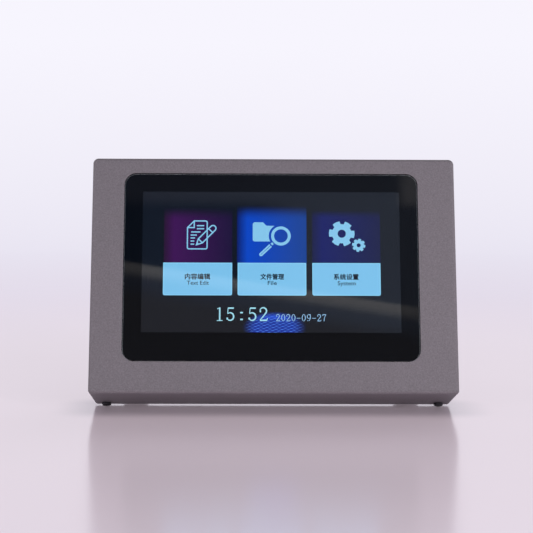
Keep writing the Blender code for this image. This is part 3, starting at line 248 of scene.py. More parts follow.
@dataclass(frozen=True)
class PowderCoat(Finish):
    """Metallic grey powder coat on folded steel: satin, finely grained, paler where edges rub."""

    dark: str = "#6c666b"
    light: str = "#827b81"
    rubbed: str = "#9c969b"
    grain_mm: float = 0.8        # the real fleck is near 0.2 mm; drawn coarser so that it shows
    peel_mm: float = 2.2         # slow waves left as the powder flows out
    edge_mm: float = 0.5
    metallic: float = 0.25

    def paint(self, add: Adder, shader: Node) -> None:
        """Build flecked colour, rubbed edges, uneven sheen and orange peel."""
        place = add("TexCoord").outputs["Object"]
        fleck = add("TexNoise", {"Vector": place, "Scale": per_mm(self.grain_mm), "Detail": 2.0,
            "Roughness": 0.7})
        spread = add("MapRange", {"Value": fleck, "From Min": 0.3, "From Max": 0.7})
        grain = add("Mix", {0: spread, 6: self.dark, 7: self.light}, data_type="RGBA")
        rounded = add("Bevel", {"Radius": self.edge_mm * MM}, samples=4)
        true_normal = add("NewGeometry").outputs["Normal"]
        turn = add("VectorMath", {0: rounded, 1: true_normal}, operation="DOT_PRODUCT")
        edge = add("MapRange", {"Value": turn, "From Min": 0.995, "From Max": 0.86, "To Max": 0.55})
        wear = add("TexNoise", {"Vector": place, "Scale": per_mm(5.0), "Detail": 3.0})
        patches = add("Math", {0: edge, 1: wear}, operation="MULTIPLY")
        worn = add("Mix", {0: patches, 6: grain, 7: self.rubbed}, data_type="RGBA")
        cloud = add("TexNoise", {"Vector": place, "Scale": per_mm(35.0), "Detail": 2.0})
        sheen = add("MapRange", {"Value": cloud, "To Min": 0.44, "To Max": 0.56})
        peel = add("TexNoise", {"Vector": place, "Scale": per_mm(self.peel_mm), "Detail": 1.0})
        waves = add("Bump", {"Height": peel, "Distance": 0.02 * MM, "Strength": 0.5})
        grit = add("Bump", {"Height": fleck, "Distance": 0.03 * MM, "Strength": 0.6, "Normal": waves})
        feed(shader, {"Base Color": worn, "Roughness": sheen, "Normal": grit, "Metallic": self.metallic})


@dataclass(frozen=True)
class PlatedMetal(Finish):
    """Plated or bare metal: mirror-like under faint handling marks, uneven in tone."""

    bright: str = "#d4d2cc"
    dull: str = "#b3b2ad"
    smooth: float = 0.22
    rough: float = 0.38
    mottle_mm: float = 6.0
    scratch_mm: float = 0.6
    stretch: Place = (1.0, 1.0, 1.0)     # more than 1 shortens the marks along that axis

    def paint(self, add: Adder, shader: Node) -> None:
        """Build the uneven plating and the fine marks in it."""
        place = add("TexCoord").outputs["Object"]
        along = add("Mapping", {"Vector": place, "Scale": self.stretch})
        mottle = add("TexNoise", {"Vector": place, "Scale": per_mm(self.mottle_mm), "Detail": 3.0})
        tone = add("Mix", {0: mottle, 6: self.dull, 7: self.bright}, data_type="RGBA")
        marks = add("TexNoise", {"Vector": along, "Scale": per_mm(self.scratch_mm), "Detail": 4.0})
        sheen = add("MapRange", {"Value": marks, "From Min": 0.3, "From Max": 0.7, "To Min": self.smooth,
            "To Max": self.rough})
        relief = add("Bump", {"Height": marks, "Distance": 0.01 * MM, "Strength": 0.2})
        feed(shader, {"Base Color": tone, "Roughness": sheen, "Normal": relief, "Metallic": 1.0})


@dataclass(frozen=True)
class MouldedPolymer(Finish):
    """Injection moulded plastic or rubber: one deep colour with a fine spark-eroded grain."""

    dark: str = "#151516"
    light: str = "#232325"
    grain_mm: float = 0.35
    depth_mm: float = 0.02
    smooth: float = 0.38
    rough: float = 0.55

    def paint(self, add: Adder, shader: Node) -> None:
        """Build the mould's grain and the dull and shiny patches on it."""
        place = add("TexCoord").outputs["Object"]
        grain = add("TexVoronoi", {"Vector": place, "Scale": per_mm(self.grain_mm)})
        dust = add("TexNoise", {"Vector": place, "Scale": per_mm(4.0), "Detail": 5.0, "Roughness": 0.6})
        tone = add("Mix", {0: dust, 6: self.dark, 7: self.light}, data_type="RGBA")
        sheen = add("MapRange", {"Value": dust, "From Min": 0.3, "From Max": 0.7, "To Min": self.smooth,
            "To Max": self.rough})
        relief = add("Bump", {"Height": grain, "Distance": self.depth_mm * MM, "Strength": 0.5})
        feed(shader, {"Base Color": tone, "Roughness": sheen, "Normal": relief})


@dataclass(frozen=True)
class ClearGlass(Finish):
    """Toughened soda-lime glass: clear, with a faint wiped haze in its gloss."""

    haze_mm: float = 30.0
    streak: float = 4.0          # wiping marks are that many times longer than wide

    def paint(self, add: Adder, shader: Node) -> None:
        """Build a clear pane whose gloss varies with wiping marks."""
        place = add("TexCoord").outputs["Object"]
        wiped = add("Mapping", {"Vector": place, "Rotation": (0.0, radians(35.0), 0.0),
            "Scale": (1.0, 1.0, self.streak)})
        haze = add("TexNoise", {"Vector": wiped, "Scale": per_mm(self.haze_mm), "Detail": 4.0,
            "Distortion": 0.4})
        gloss = add("MapRange", {"Value": haze, "From Min": 0.45, "From Max": 0.75, "To Min": 0.005,
            "To Max": 0.015})
        feed(shader, {"Roughness": gloss, "Base Color": "#f6fafa", "Transmission Weight": 1.0, "IOR": 1.52})


@dataclass(frozen=True)
class ScreenPrint(Finish):
    """Black ceramic ink screen printed on the glass: dense, with a faint mesh tooth."""

    ink: str = "#0b0c0f"
    thin: str = "#101116"
    mesh_mm: float = 0.3

    def paint(self, add: Adder, shader: Node) -> None:
        """Build a dense black with the slight tooth of the printing mesh."""
        place = add("TexCoord").outputs["Object"]
        tooth = add("TexNoise", {"Vector": place, "Scale": per_mm(self.mesh_mm), "Detail": 2.0})
        tone = add("Mix", {0: tooth, 6: self.ink, 7: self.thin}, data_type="RGBA")
        sheen = add("MapRange", {"Value": tooth, "To Min": 0.5, "To Max": 0.7})
        # the ink is wetted onto the glass, so it has no gloss of its own
        feed(shader, {"Base Color": tone, "Roughness": sheen, "Specular IOR Level": 0.0})


@dataclass(frozen=True)
class DisplayFilm(Finish):
    """Polarising film over unlit cells: near black with the backlight's cold leak."""

    low: str = "#040509"
    high: str = "#0a0b11"
    leak_mm: float = 60.0

    def paint(self, add: Adder, shader: Node) -> None:
        """Build the uneven leak of the backlight through closed cells."""
        place = add("TexCoord").outputs["Object"]
        cloud = add("TexNoise", {"Vector": place, "Scale": per_mm(self.leak_mm), "Detail": 1.0})
        leak = add("Mix", {0: cloud, 6: self.low, 7: self.high}, data_type="RGBA")
        feed(shader, {"Emission Color": leak, "Emission Strength": 1.0, "Base Color": "#050507",
            "Roughness": FILM_ROUGHNESS})


@dataclass(frozen=True)
class LitCells(Finish):
    """Liquid crystal cells lit from behind, in a fine grid, one tone running into another.

    Positions are in millimetres on the screen, from the lower left corner of the lit area.
    """

    edge: str = "#7bbfe8"
    middle: str = "#7bbfe8"
    far: str = "#7bbfe8"
    span: Point = (0.0, 154.2)       # left and right ends of the run of tones
    rise: float = 0.15                             # share of the span to the middle tone
    top: float = 0.0
    fade: float = 0.0                              # how far below the top the light is full
    dot_mm: float = 0.15
    ground: str = "#030304"                        # what the cells reflect by themselves

    def paint(self, add: Adder, shader: Node) -> None:
        """Build the run of tones across the piece, its soft top and the grid of dots."""
        screen = add("UVMap", uv_map=SCREEN_MAP)
        split = add("SeparateXYZ", {"Vector": screen})
        left, right = self.span
        turn = left + self.rise * (right - left)
        tone = linear(self.edge)
        for start, end, code in ((left, turn, self.middle), (turn, right, self.far)):
            share = add("MapRange", {"Value": split.outputs["X"], "From Min": start, "From Max": end})
            tone = add("Mix", {0: share, 6: tone, 7: code}, data_type="RGBA")
        if self.fade:
            full = add("MapRange", {"Value": split.outputs["Y"], "From Min": self.top,
                "From Max": self.top - self.fade}, interpolation_type="SMOOTHSTEP")
            tone = add("Mix", {0: full, 6: UNLIT, 7: tone}, data_type="RGBA")
        dots = add("TexBrick", {"Vector": screen, "Scale": 1.0 / self.dot_mm,
            "Color1": (1.0, 1.0, 1.0, 1.0), "Color2": (0.96, 0.96, 0.96, 1.0),
            "Mortar": (0.8, 0.8, 0.8, 1.0), "Mortar Size": 0.06, "Brick Width": 1.0, "Row Height": 1.0},
            offset=0.0)
        lit = add("Mix", {0: 1.0, 6: tone, 7: dots}, data_type="RGBA", blend_type="MULTIPLY")
        feed(shader, {"Emission Color": lit, "Emission Strength": GLASS_LOSS, "Base Color": self.ground,
            "Roughness": FILM_ROUGHNESS})


@dataclass(frozen=True)
class WaveGlow(Finish):
    """Lit cells that show a blue net of light, brightest in its middle."""

    deep: str = "#001a8c"
    bright: str = "#5590ff"
    band: str = "#1846d8"
    centre: Point = (79.0, 3.0)
    reach: Point = (19.5, 10.0)

    def paint(self, add: Adder, shader: Node) -> None:
        """Build two crossing sets of thin waves inside a soft oval of blue."""
        screen = add("UVMap", uv_map=SCREEN_MAP)
        centred = add("Mapping", {"Vector": screen, "Location": (*self.centre, 0.0),
            "Scale": (*self.reach, 1.0)}, vector_type="TEXTURE")
        radius = add("VectorMath", {0: centred}, operation="LENGTH")
        glow = add("MapRange", {"Value": radius, "From Min": 1.0, "From Max": 0.55},
            interpolation_type="SMOOTHSTEP")
        lines = []
        for turn, pitch in ((3.0, 0.33), (-24.0, 0.2)):
            turned = add("Mapping", {"Vector": screen, "Rotation": (0.0, 0.0, radians(turn))})
            lines.append(add("TexWave", {"Vector": turned, "Scale": pitch, "Distortion": 2.0, "Detail": 0.0,
                "Detail Scale": 0.15}, bands_direction="Y").outputs["Fac"])
        dashes = add("MapRange", {"Value": lines[1], "To Min": 0.35, "To Max": 1.0})
        net = add("Math", {0: lines[0], 1: dashes}, operation="MULTIPLY")
        sharp = add("Math", {0: net, 1: 2.0}, operation="POWER")
        height = add("SeparateXYZ", {"Vector": screen}).outputs["Y"]
        crest = add("MapRange", {"Value": height, "From Min": 7.0, "From Max": 10.0},
            interpolation_type="SMOOTHSTEP")
        ground = add("Mix", {0: crest, 6: self.deep, 7: self.band}, data_type="RGBA")
        tone = add("Mix", {0: sharp, 6: ground, 7: self.bright}, data_type="RGBA")
        lit = add("Mix", {0: glow, 6: UNLIT, 7: tone}, data_type="RGBA")
        feed(shader, {"Emission Color": lit, "Emission Strength": GLASS_LOSS, "Base Color": "#030304",
            "Roughness": FILM_ROUGHNESS})


@dataclass(frozen=True)
class SolderMask(Finish):
    """Glass-epoxy laminate under green solder mask: copper tracks show as paler lines."""

    mask: str = "#0f3d22"
    copper: str = "#2c6b3c"
    pad: str = "#b9b4a0"
    track_mm: float = 0.9
    pad_pitch_mm: float = 4.0

    def paint(self, add: Adder, shader: Node) -> None:
        """Build angular track fields and rows of tinned pads."""
        place = add("TexCoord").outputs["Object"]
        fields = add("TexVoronoi", {"Vector": place, "Scale": per_mm(self.pad_pitch_mm * 2)},
            distance="MANHATTAN")
        tracks = add("TexWave", {"Vector": place, "Scale": per_mm(self.track_mm) / 20, "Distortion": 3.0,
            "Detail": 0.0}, bands_direction="X")
        lines = add("Math", {0: tracks.outputs["Fac"], 1: 0.6}, operation="GREATER_THAN")
        shown = add("Math", {0: lines, 1: fields}, operation="MULTIPLY", use_clamp=True)
        green = add("Mix", {0: shown, 6: self.mask, 7: self.copper}, data_type="RGBA")
        dots = add("TexVoronoi", {"Vector": place, "Scale": per_mm(self.pad_pitch_mm), "Randomness": 0.6})
        pads = add("Math", {0: dots, 1: 0.16}, operation="LESS_THAN")
        tone = add("Mix", {0: pads, 6: green, 7: self.pad}, data_type="RGBA")
        relief = add("Bump", {"Height": lines, "Distance": 0.03 * MM, "Strength": 0.5})
        feed(shader, {"Base Color": tone, "Metallic": pads, "Normal": relief, "Roughness": 0.32})


@dataclass(frozen=True)
class FlatCable(Finish):
    """White polyester film over tinned conductors, which show through as grey stripes."""

    film: str = "#dcdad2"
    stripe: str = "#a9a8a4"
    pitch_mm: float = 1.0

    def paint(self, add: Adder, shader: Node) -> None:
        """Build the stripes of the conductors under the film."""
        place = add("TexCoord").outputs["Object"]
        stripes = add("TexWave", {"Vector": place, "Scale": tau / 20 * per_mm(self.pitch_mm)},
            bands_direction="X")
        tone = add("Mix", {0: stripes.outputs["Fac"], 6: self.film, 7: self.stripe}, data_type="RGBA")
        relief = add("Bump", {"Height": stripes.outputs["Fac"], "Distance": 0.05 * MM, "Strength": 0.6})
        feed(shader, {"Base Color": tone, "Normal": relief, "Roughness": 0.35})


BOX_PAINT = PowderCoat("powder_coated_front_housing", Slot.HOUSING_PAINT)
COVER_PAINT = PowderCoat("powder_coated_rear_cover", Slot.COVER_PAINT)
STAND_PAINT = PowderCoat("powder_coated_stand", Slot.STAND_STEEL, "#5b565c", "#716b72", "#8e888f")
PANE = ClearGlass("toughened_cover_glass", Slot.BLACK_GLASS)
BORDER_INK = ScreenPrint("screen_printed_black_ink", Slot.BLACK_GLASS)
UNLIT_SCREEN = DisplayFilm("unlit_display_film", Slot.LCD_FILM)
ZINC = PlatedMetal("bright_zinc_plated_steel", Slot.ZINC_STEEL, "#d3d4d2", "#b4b6b9")
SCREW_ZINC = PlatedMetal("zinc_plated_screw_steel", Slot.SCREW_STEEL, "#cfd0cf", "#a9abad", 0.2, 0.34)
BLACK_ZINC = PlatedMetal("black_passivated_screw_steel", Slot.SCREW_STEEL, "#4a494c", "#333236", 0.34, 0.5)
CAN_STEEL = PlatedMetal("stamped_backlight_can", Slot.ZINC_STEEL, "#c9cacb", "#b2b3b6",
    stretch=(0.1, 1.0, 1.0))
NICKEL = PlatedMetal("bright_nickel_plate", Slot.NICKEL, "#d9d5cb", "#bdb9ae", 0.16, 0.3)
BRASS = PlatedMetal("turned_brass", Slot.BRASS, "#e0c079", "#b48e4b", 0.2, 0.36)
CELL = PlatedMetal("stamped_cell_case", Slot.CELL_STEEL, "#dcdcda", "#c3c4c4", 0.18, 0.3)
HEATSINK = PlatedMetal("black_anodised_extrusion", Slot.HEATSINK_ALUMINIUM, "#3c3c3f", "#2a2a2d", 0.35, 0.5,
    stretch=(1.0, 1.0, 0.08))
GOLD_PLATE = PlatedMetal("gold_plated_contacts", Slot.BRASS, "#edc873", "#cfa552", 0.18, 0.3)
BLACK_PLASTIC = MouldedPolymer("moulded_black_polyester", Slot.BLACK_PLASTIC)
ROCKER_PLASTIC = MouldedPolymer("moulded_rocker_polyamide", Slot.ROCKER_PLASTIC, "#121213", "#1c1c1e",
    smooth=0.28, rough=0.42)
MARK_INK = MouldedPolymer("pad_printed_white_ink", Slot.ROCKER_PLASTIC, "#d6d6d2", "#e6e6e2", smooth=0.4,
    rough=0.55)
FOAM = MouldedPolymer("acrylic_foam_tape", Slot.BLACK_FOAM, "#0c0c0c", "#161616", grain_mm=0.25,
    depth_mm=0.08, smooth=0.8, rough=0.95)
RUBBER = MouldedPolymer("moulded_black_rubber", Slot.RUBBER, "#1b1b1b", "#2a2a29", grain_mm=0.4,
    depth_mm=0.04, smooth=0.7, rough=0.88)
BOARD = SolderMask("green_solder_mask_board", Slot.BOARD_LAMINATE)
RIBBON = FlatCable("polyester_flat_cable", Slot.RIBBON_FILM)


# ---------------------------------------------------------------- shapes
def place_object(name: str, data: bpy.types.ID) -> Item:
    """Put a new object with that mesh, text, lamp or camera in the scene."""
    item = bpy.data.objects.new(name, data)
    bpy.context.scene.collection.objects.link(item)
    return item


class Shape:
    """A mesh being worked on, in millimetres, in the upright frame of its body."""

    def __init__(self, name: str, mesh: bpy.types.Mesh) -> None:
        """Put a mesh in the scene to be worked on.

        Args:
            name: the piece's name.
            mesh: its mesh, in millimetres.
        """
        self.item = place_object(name, mesh)

    @classmethod
    def from_bmesh(cls, name: str, form: Form, smooth: float = 35.0) -> "Shape":
        """Make a shape of a bmesh, with its faces outwards and its flat edges sharp.

        Args:
            name: the piece's name.
            form: the bmesh, which is freed.
            smooth: edges below this angle in degrees are shaded smooth.

        Returns:
            The new shape.
        """
        bmesh.ops.recalc_face_normals(form, faces=form.faces)
        mesh = bpy.data.meshes.new(name)
        form.to_mesh(mesh)
        form.free()
        mesh.shade_smooth()
        mesh.set_sharp_from_angle(angle=radians(smooth))
        return cls(name, mesh)

    @classmethod
    def box(cls, name: str, size: Place, at: Place, corner: float = 0.0, axis: int = 1,
            segments: int = 8) -> "Shape":
        """Make a box whose edges along one axis may be rounded.

        Args:
            name: the piece's name.
            size: its size in x, y and z.
            at: its middle.
            corner: the radius of the rounded edges.
            axis: the axis that they run along, as 0, 1 or 2.
            segments: the number of faces round each corner.

        Returns:
            The box.
        """
        form = bmesh.new()
        bmesh.ops.create_cube(form, matrix=Matrix.Translation(at) @ Matrix.Diagonal((*size, 1.0)))
        if corner > 0.0:
            edges = [edge for edge in form.edges if _runs_along(edge, axis)]
            bmesh.ops.bevel(form, geom=edges, offset=corner, segments=segments, profile=0.5, affect="EDGES")
        return cls.from_bmesh(name, form)

    @classmethod
    def turned(cls, name: str, profile: Sequence[Point], at: Place, facing: Facing = Facing.BACK,
            steps: int = 48) -> "Shape":
        """Turn a profile about an axis.

        Args:
            name: the piece's name.
            profile: points of (radius, height along the axis), closed by the axis itself or,
                where it doesn't touch the axis, by its first point.
            at: where height 0 of the axis is.
            facing: the way that height grows.
            steps: the number of faces round the axis.

        Returns:
            The turned shape.
        """
        form = bmesh.new()
        spin(form, profile, steps, profile[0][0] > 0.0)
        bmesh.ops.remove_doubles(form, verts=form.verts, dist=MERGE_MM)
        form.transform(_placed(at, facing))
        return cls.from_bmesh(name, form, TURNED_SMOOTH)

    @classmethod
    def prism(cls, name: str, outline: Sequence[Point], depth: float, at: Place,
            facing: Facing = Facing.BACK) -> "Shape":
        """Extrude an outline.

        Args:
            name: the piece's name.
            outline: the points of the outline, in the plane across the axis.
            depth: how far it is extruded.
            at: the origin of the outline.
            facing: the way that it is extruded.

        Returns:
            The prism.
        """
        form = block([(x, y, 0.0) for x, y in outline], (0.0, 0.0, depth))
        form.transform(_placed(at, facing))
        return cls.from_bmesh(name, form)

    def freeze(self) -> "Shape":
        """Turn the modifiers into plain mesh and remove them.

        Returns:
            The shape itself.
        """
        graph = bpy.context.evaluated_depsgraph_get()
        mesh = bpy.data.meshes.new_from_object(self.item.evaluated_get(graph),
            preserve_all_data_layers=True, depsgraph=graph)
        self.item.modifiers.clear()
        self.item.data = mesh
        return self

    def apply(self, kind: str, **settings: Any) -> "Shape":
        """Apply one modifier.

        Args:
            kind: the modifier's type.
            settings: its properties.

        Returns:
            The shape itself.
        """
        modifier = self.item.modifiers.new(kind, kind)
        for key, value in settings.items():
            setattr(modifier, key, value)
        return self.freeze()

    def cut(self, *others: "Shape") -> "Shape":
        """Take other shapes away from this one, and discard them."""
        return self._combine(others, "DIFFERENCE")

    def join(self, *others: "Shape") -> "Shape":
        """Weld other shapes to this one, and discard them."""
        return self._combine(others, "UNION")

    def _combine(self, others: Sequence["Shape"], operation: str) -> "Shape":
        """Run one exact boolean for each other shape.

        Args:
            others: the shapes to combine with this one; they are discarded.
            operation: the boolean's name.

        Returns:
            The shape itself.
        """
        for other in others:
            self.apply("BOOLEAN", operation=operation, object=other.item, solver="EXACT")
            other.discard()
        return self

    def soften(self, width: float, segments: int = 2, angle: float = 38.0) -> "Shape":
        """Break the sharp edges, and keep the flat faces flat in their shading.

        Args:
            width: the width of the broken edge.
            segments: the faces across it.
            angle: edges sharper than this many degrees are broken.

        Returns:
            The shape itself.
        """
        self.apply("BEVEL", width=width, segments=segments, limit_method="ANGLE",
            angle_limit=radians(angle), miter_outer="MITER_ARC", use_clamp_overlap=True)
        self.item.data.shade_smooth()
        self.item.data.set_sharp_from_angle(angle=radians(SOFTENED_SHARP))
        return self.apply("WEIGHTED_NORMAL", keep_sharp=True, weight=60)

    def discard(self) -> None:
        """Remove the shape from the scene."""
        bpy.data.objects.remove(self.item)

    def settle(self, finish: Finish, nodes: Sequence[str] = (), body: Body = Body.HOUSING) -> Item:
        """Bake the piece into the row frame, dress it, and tie it to its body.

        Args:
            finish: what it is made of.
            nodes: the CAD nodes that it stands for.
            body: the body that it rides on.

        Returns:
            The finished object.
        """
        mesh = self.item.data
        mesh.transform(FRAMES[body])
        mesh.materials.clear()
        mesh.materials.append(finish.material())
        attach(self.item, body.value)
        if nodes:
            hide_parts(*nodes)
        LOG.info("%s: %d faces, %s", self.item.name, len(mesh.polygons), finish.name)
        return self.item


def sweep(form: Form, faces: Sequence[bmesh.types.BMFace], by: Place, keep: bool = True) -> None:
    """Sweep faces straight, with walls round them.

    Args:
        form: the bmesh that they are in.
        faces: the faces to sweep.
        by: how far, in x, y and z.
        keep: whether faces stay behind at the start as well.
    """
    swept = bmesh.ops.extrude_face_region(form, geom=faces, use_keep_orig=keep)["geom"]
    moved = [part for part in swept if isinstance(part, bmesh.types.BMVert)]
    bmesh.ops.translate(form, verts=moved, vec=by)


def spin(form: Form, profile: Sequence[Point], steps: int, closed: bool) -> None:
    """Turn a profile of (radius, height) once round the z axis.

    Args:
        form: the bmesh to draw in.
        profile: the points.
        steps: the number of faces round the axis.
        closed: whether its last point runs back to its first.
    """
    verts = [form.verts.new((radius, 0.0, height)) for radius, height in profile]
    pairs = [*zip(verts, verts[1:]), *([(verts[-1], verts[0])] if closed else [])]
    edges = [form.edges.new(pair) for pair in pairs]
    bmesh.ops.spin(form, geom=verts + edges, axis=(0.0, 0.0, 1.0), cent=ORIGIN, angle=tau, steps=steps,
        use_merge=True)


def block(points: Sequence[Place], by: Place) -> Form:
    """Return the solid that a flat outline leaves when it is swept by some way."""
    form = bmesh.new()
    sweep(form, [form.faces.new([form.verts.new(point) for point in points])], by, False)
    return form


def bar(radius: float, length: float) -> list[Point]:
    """Return the profile of a plain round bar, centred on its place."""
    return [(0.0, length / 2), (radius, length / 2), (radius, -length / 2), (0.0, -length / 2)]


def _runs_along(edge: bmesh.types.BMEdge, axis: int) -> bool:
    """Tell whether an edge runs along one axis."""
    run = edge.verts[1].co - edge.verts[0].co
    return abs(run[axis]) > 0.999 * run.length


def _placed(at: Place, facing: Facing) -> Matrix:
    """Return the matrix that puts a shape at a place with its z axis facing one way."""
    turn = Vector(facing.value).to_track_quat("Z", "X").to_matrix().to_4x4()
    return Matrix.Translation(at) @ turn


def hexagon(across_corners: float) -> list[Point]:
    """Return the corners of a hexagon with one corner along the first axis."""
    return [(across_corners * cos(pi / 3 * step), across_corners * sin(pi / 3 * step)) for step in range(6)]


def arc(centre: Point, radius: Point, start: float, end: float, steps: int = 16) -> list[Point]:
    """Return points along part of an ellipse.

    Args:
        centre: its middle.
        radius: its half width and half height.
        start: the angle of the first point, in degrees.
        end: the angle of the last point.
        steps: the number of pieces between them.

    Returns:
        The points, one more than the steps.
    """
    turns = [radians(start + (end - start) * step / steps) for step in range(steps + 1)]
    return [(centre[0] + radius[0] * cos(turn), centre[1] + radius[1] * sin(turn)) for turn in turns]


def folded_tray(name: str, size: Place, at: Place, wall: float, corner: float, foot_corner: float,
        bend: float, opens_back: bool) -> Shape:
    """Fold a five-sided sheet box whose front or rear face is its panel.

    Args:
        name: the piece's name.
        size: the outside size.
        at: the middle of that size.
        wall: the sheet's thickness, taken inwards.
        corner: the radius of the two upper corners.
        foot_corner: the radius of the two lower corners; they stay sharp below the wall.
        bend: the radius of the folds round the panel.
        opens_back: whether the open side faces backwards.

    Returns:
        The tray.
    """
    form = bmesh.new()
    bmesh.ops.create_cube(form, matrix=Matrix.Diagonal((*size, 1.0)))
    form.normal_update()
    side = 1.0 if opens_back else -1.0
    open_face = [face for face in form.faces if face.normal.y * side > 0.9]
    bmesh.ops.delete(form, geom=open_face, context="FACES")
    for side_of_panel, radius in ((1.0, corner), (-1.0, foot_corner)):
        edges = [edge for edge in form.edges if _runs_along(edge, 1)
            and edge.verts[0].co.z * side_of_panel > size[2] / 4
            and abs(abs(edge.verts[0].co.x) - size[0] / 2) < 0.001]
        if radius > wall:
            bmesh.ops.bevel(form, geom=edges, offset=radius, segments=TRAY_CORNER_STEPS, profile=0.5,
                affect="EDGES")
    panel = -side * size[1] / 2
    rim = [edge for edge in form.edges if len(edge.link_faces) == 2 and all(abs(vert.co.y - panel) < 0.001
        for vert in edge.verts)]
    bmesh.ops.bevel(form, geom=rim, offset=bend, segments=BEND_STEPS, profile=0.5, affect="EDGES")
    form.transform(Matrix.Translation(at))
    tray = Shape.from_bmesh(name, form, FOLDED_SMOOTH)
    return tray.apply("SOLIDIFY", thickness=wall, offset=-1.0, use_even_offset=True)


# ---------------------------------------------------------------- geometry node trees
class RepeatTree(ABC):
    """A Geometry Nodes tree built here, with named inputs, that ends in one plain mesh."""

    title = ""
    sizes: dict[str, str] = {}

    def __init__(self) -> None:
        """Make the tree with its named inputs and its last nodes."""
        self.tree = bpy.data.node_groups.new(self.title, "GeometryNodeTree")
        self.add = partial(add_node, self.tree)
        face = self.tree.interface
        face.new_socket("Geometry", in_out="OUTPUT", socket_type="NodeSocketGeometry")
        self.keys = {}
        for label, kind in {"Geometry": "Geometry", **self.sizes, "Finish": "Material"}.items():
            socket = face.new_socket(label, in_out="INPUT", socket_type="NodeSocket" + kind)
            self.keys[label] = socket.identifier
        entry = self.add("NodeGroupInput").outputs
        made = self.grow(entry)
        plain = self.add("GeometryNodeRealizeInstances", {"Geometry": made})
        dressed = self.add("GeometryNodeSetMaterial", {"Geometry": plain, "Material": entry["Finish"]})
        self.add("NodeGroupOutput", {"Geometry": dressed})

    @abstractmethod
    def grow(self, entry: Any) -> Node:
        """Build the middle of the tree.

        Args:
            entry: the outputs of the group's input node.

        Returns:
            The node whose geometry is realised and dressed.
        """

    def run(self, shape: Shape, finish: Finish, **sizes: Any) -> Shape:
        """Run the tree on a shape and keep the result as its plain mesh.

        Args:
            shape: the shape that carries the tree, and its geometry input.
            finish: the finish that the tree sets.
            sizes: the named inputs, with spaces written as underscores; a Shape is passed on
                as its object and discarded at the end.

        Returns:
            The same shape with its new mesh.
        """
        modifier = shape.item.modifiers.new(self.title, "NODES")
        modifier.node_group = self.tree
        modifier[self.keys["Finish"]] = finish.material()
        for label, value in sizes.items():
            given = value.item if isinstance(value, Shape) else value
            modifier[self.keys[label.replace("_", " ")]] = given
        shape.freeze()
        for value in sizes.values():
            if isinstance(value, Shape):
                value.discard()
        return shape


class PlacedCopies(RepeatTree):
    """Sets a copy of one fastener or contact on each point, facing the way the point says."""

    title = "placed_copies"
    sizes = {"Copy": "Object"}

    def grow(self, entry: Any) -> Node:
        """Instance the copy on the points, turned to their own direction."""
        facing = self.add("GeometryNodeInputNamedAttribute", {"Name": "facing"}, data_type="FLOAT_VECTOR")
        turn = self.add("FunctionNodeAlignRotationToVector", {"Vector": facing}, axis="Z")
        copy = self.add("GeometryNodeObjectInfo", {"Object": entry["Copy"]})
        return self.add("GeometryNodeInstanceOnPoints", {"Points": entry["Geometry"],
            "Instance": copy.outputs["Geometry"], "Rotation": turn})

    def place(self, name: str, copy: Shape, points: Sequence[Place], facing: Facing,
            finish: Finish) -> Shape:
        """Set one copy on each of some points that all face one way.

        Args:
            name: the name of the piece that holds all the copies.
            copy: the shape to repeat, drawn round the origin with its axis along z.
            points: where the copies go.
            facing: the way that their axis points.
            finish: what they are made of.

        Returns:
            One shape that holds all the copies.
        """
        return self.place_each(name, copy, [(point, facing.value) for point in points], finish)

    def place_each(self, name: str, copy: Shape, points: Sequence[tuple[Place, Place]],
            finish: Finish) -> Shape:
        """Set one copy on each of some points, each with its own direction.

        Args:
            name: the name of the piece that holds all the copies.
            copy: the shape to repeat, drawn round the origin with its axis along z.
            points: pairs of a place and a direction.
            finish: what they are made of.

        Returns:
            One shape that holds all the copies.
        """
        mesh = bpy.data.meshes.new(name)
        mesh.from_pydata([place for place, _ in points], [], [])
        facing = mesh.attributes.new("facing", "FLOAT_VECTOR", "POINT")
        facing.data.foreach_set("vector", [value for _, way in points for value in way])
        return self.run(Shape(name, mesh), finish, Copy=copy)


class SlotGrid(RepeatTree):
    """Punches rows and columns of one cutter through a sheet."""

    title = "slot_grid"
    sizes = {"Cutter": "Object", "Columns": "Int", "Rows": "Int", "Column Step": "Vector",
        "Row Step": "Vector", "First": "Vector"}

    def grow(self, entry: Any) -> Node:
        """Instance the cutter on a grid and take it away from the sheet."""
        row = self.add("GeometryNodeMeshLine", {"Count": entry["Columns"], "Start Location": entry["First"],
            "Offset": entry["Column Step"]})
        column = self.add("GeometryNodeMeshLine", {"Count": entry["Rows"], "Offset": entry["Row Step"]})
        grid = self.add("GeometryNodeInstanceOnPoints", {"Points": row, "Instance": column})
        points = self.add("GeometryNodeRealizeInstances", {"Geometry": grid})
        cutter = self.add("GeometryNodeObjectInfo", {"Object": entry["Cutter"]})
        cutters = self.add("GeometryNodeInstanceOnPoints",
            {"Points": points, "Instance": cutter.outputs["Geometry"]})
        whole = self.add("GeometryNodeRealizeInstances", {"Geometry": cutters})
        return self.add("GeometryNodeMeshBoolean", {"Mesh 1": entry["Geometry"], "Mesh 2": whole},
            operation="DIFFERENCE", solver="EXACT")


class ThreadRidge(RepeatTree):
    """Winds a screw thread's ridge round the z axis."""

    title = "thread_ridge"
    sizes = {"Radius": "Float", "Length": "Float", "Pitch": "Float", "Ridge": "Float"}

    def grow(self, entry: Any) -> Node:
        """Sweep a small round along a spiral with one turn for each pitch."""
        turns = self.add("Math", {0: entry["Length"], 1: entry["Pitch"]}, operation="DIVIDE")
        spiral = self.add("GeometryNodeCurveSpiral", {"Resolution": 36, "Rotations": turns,
            "Start Radius": entry["Radius"], "End Radius": entry["Radius"], "Height": entry["Length"]})
        ridge = self.add("GeometryNodeCurvePrimitiveCircle", {"Resolution": 6, "Radius": entry["Ridge"]})
        return self.add("GeometryNodeCurveToMesh", {"Curve": spiral, "Profile Curve": ridge,
            "Fill Caps": True})


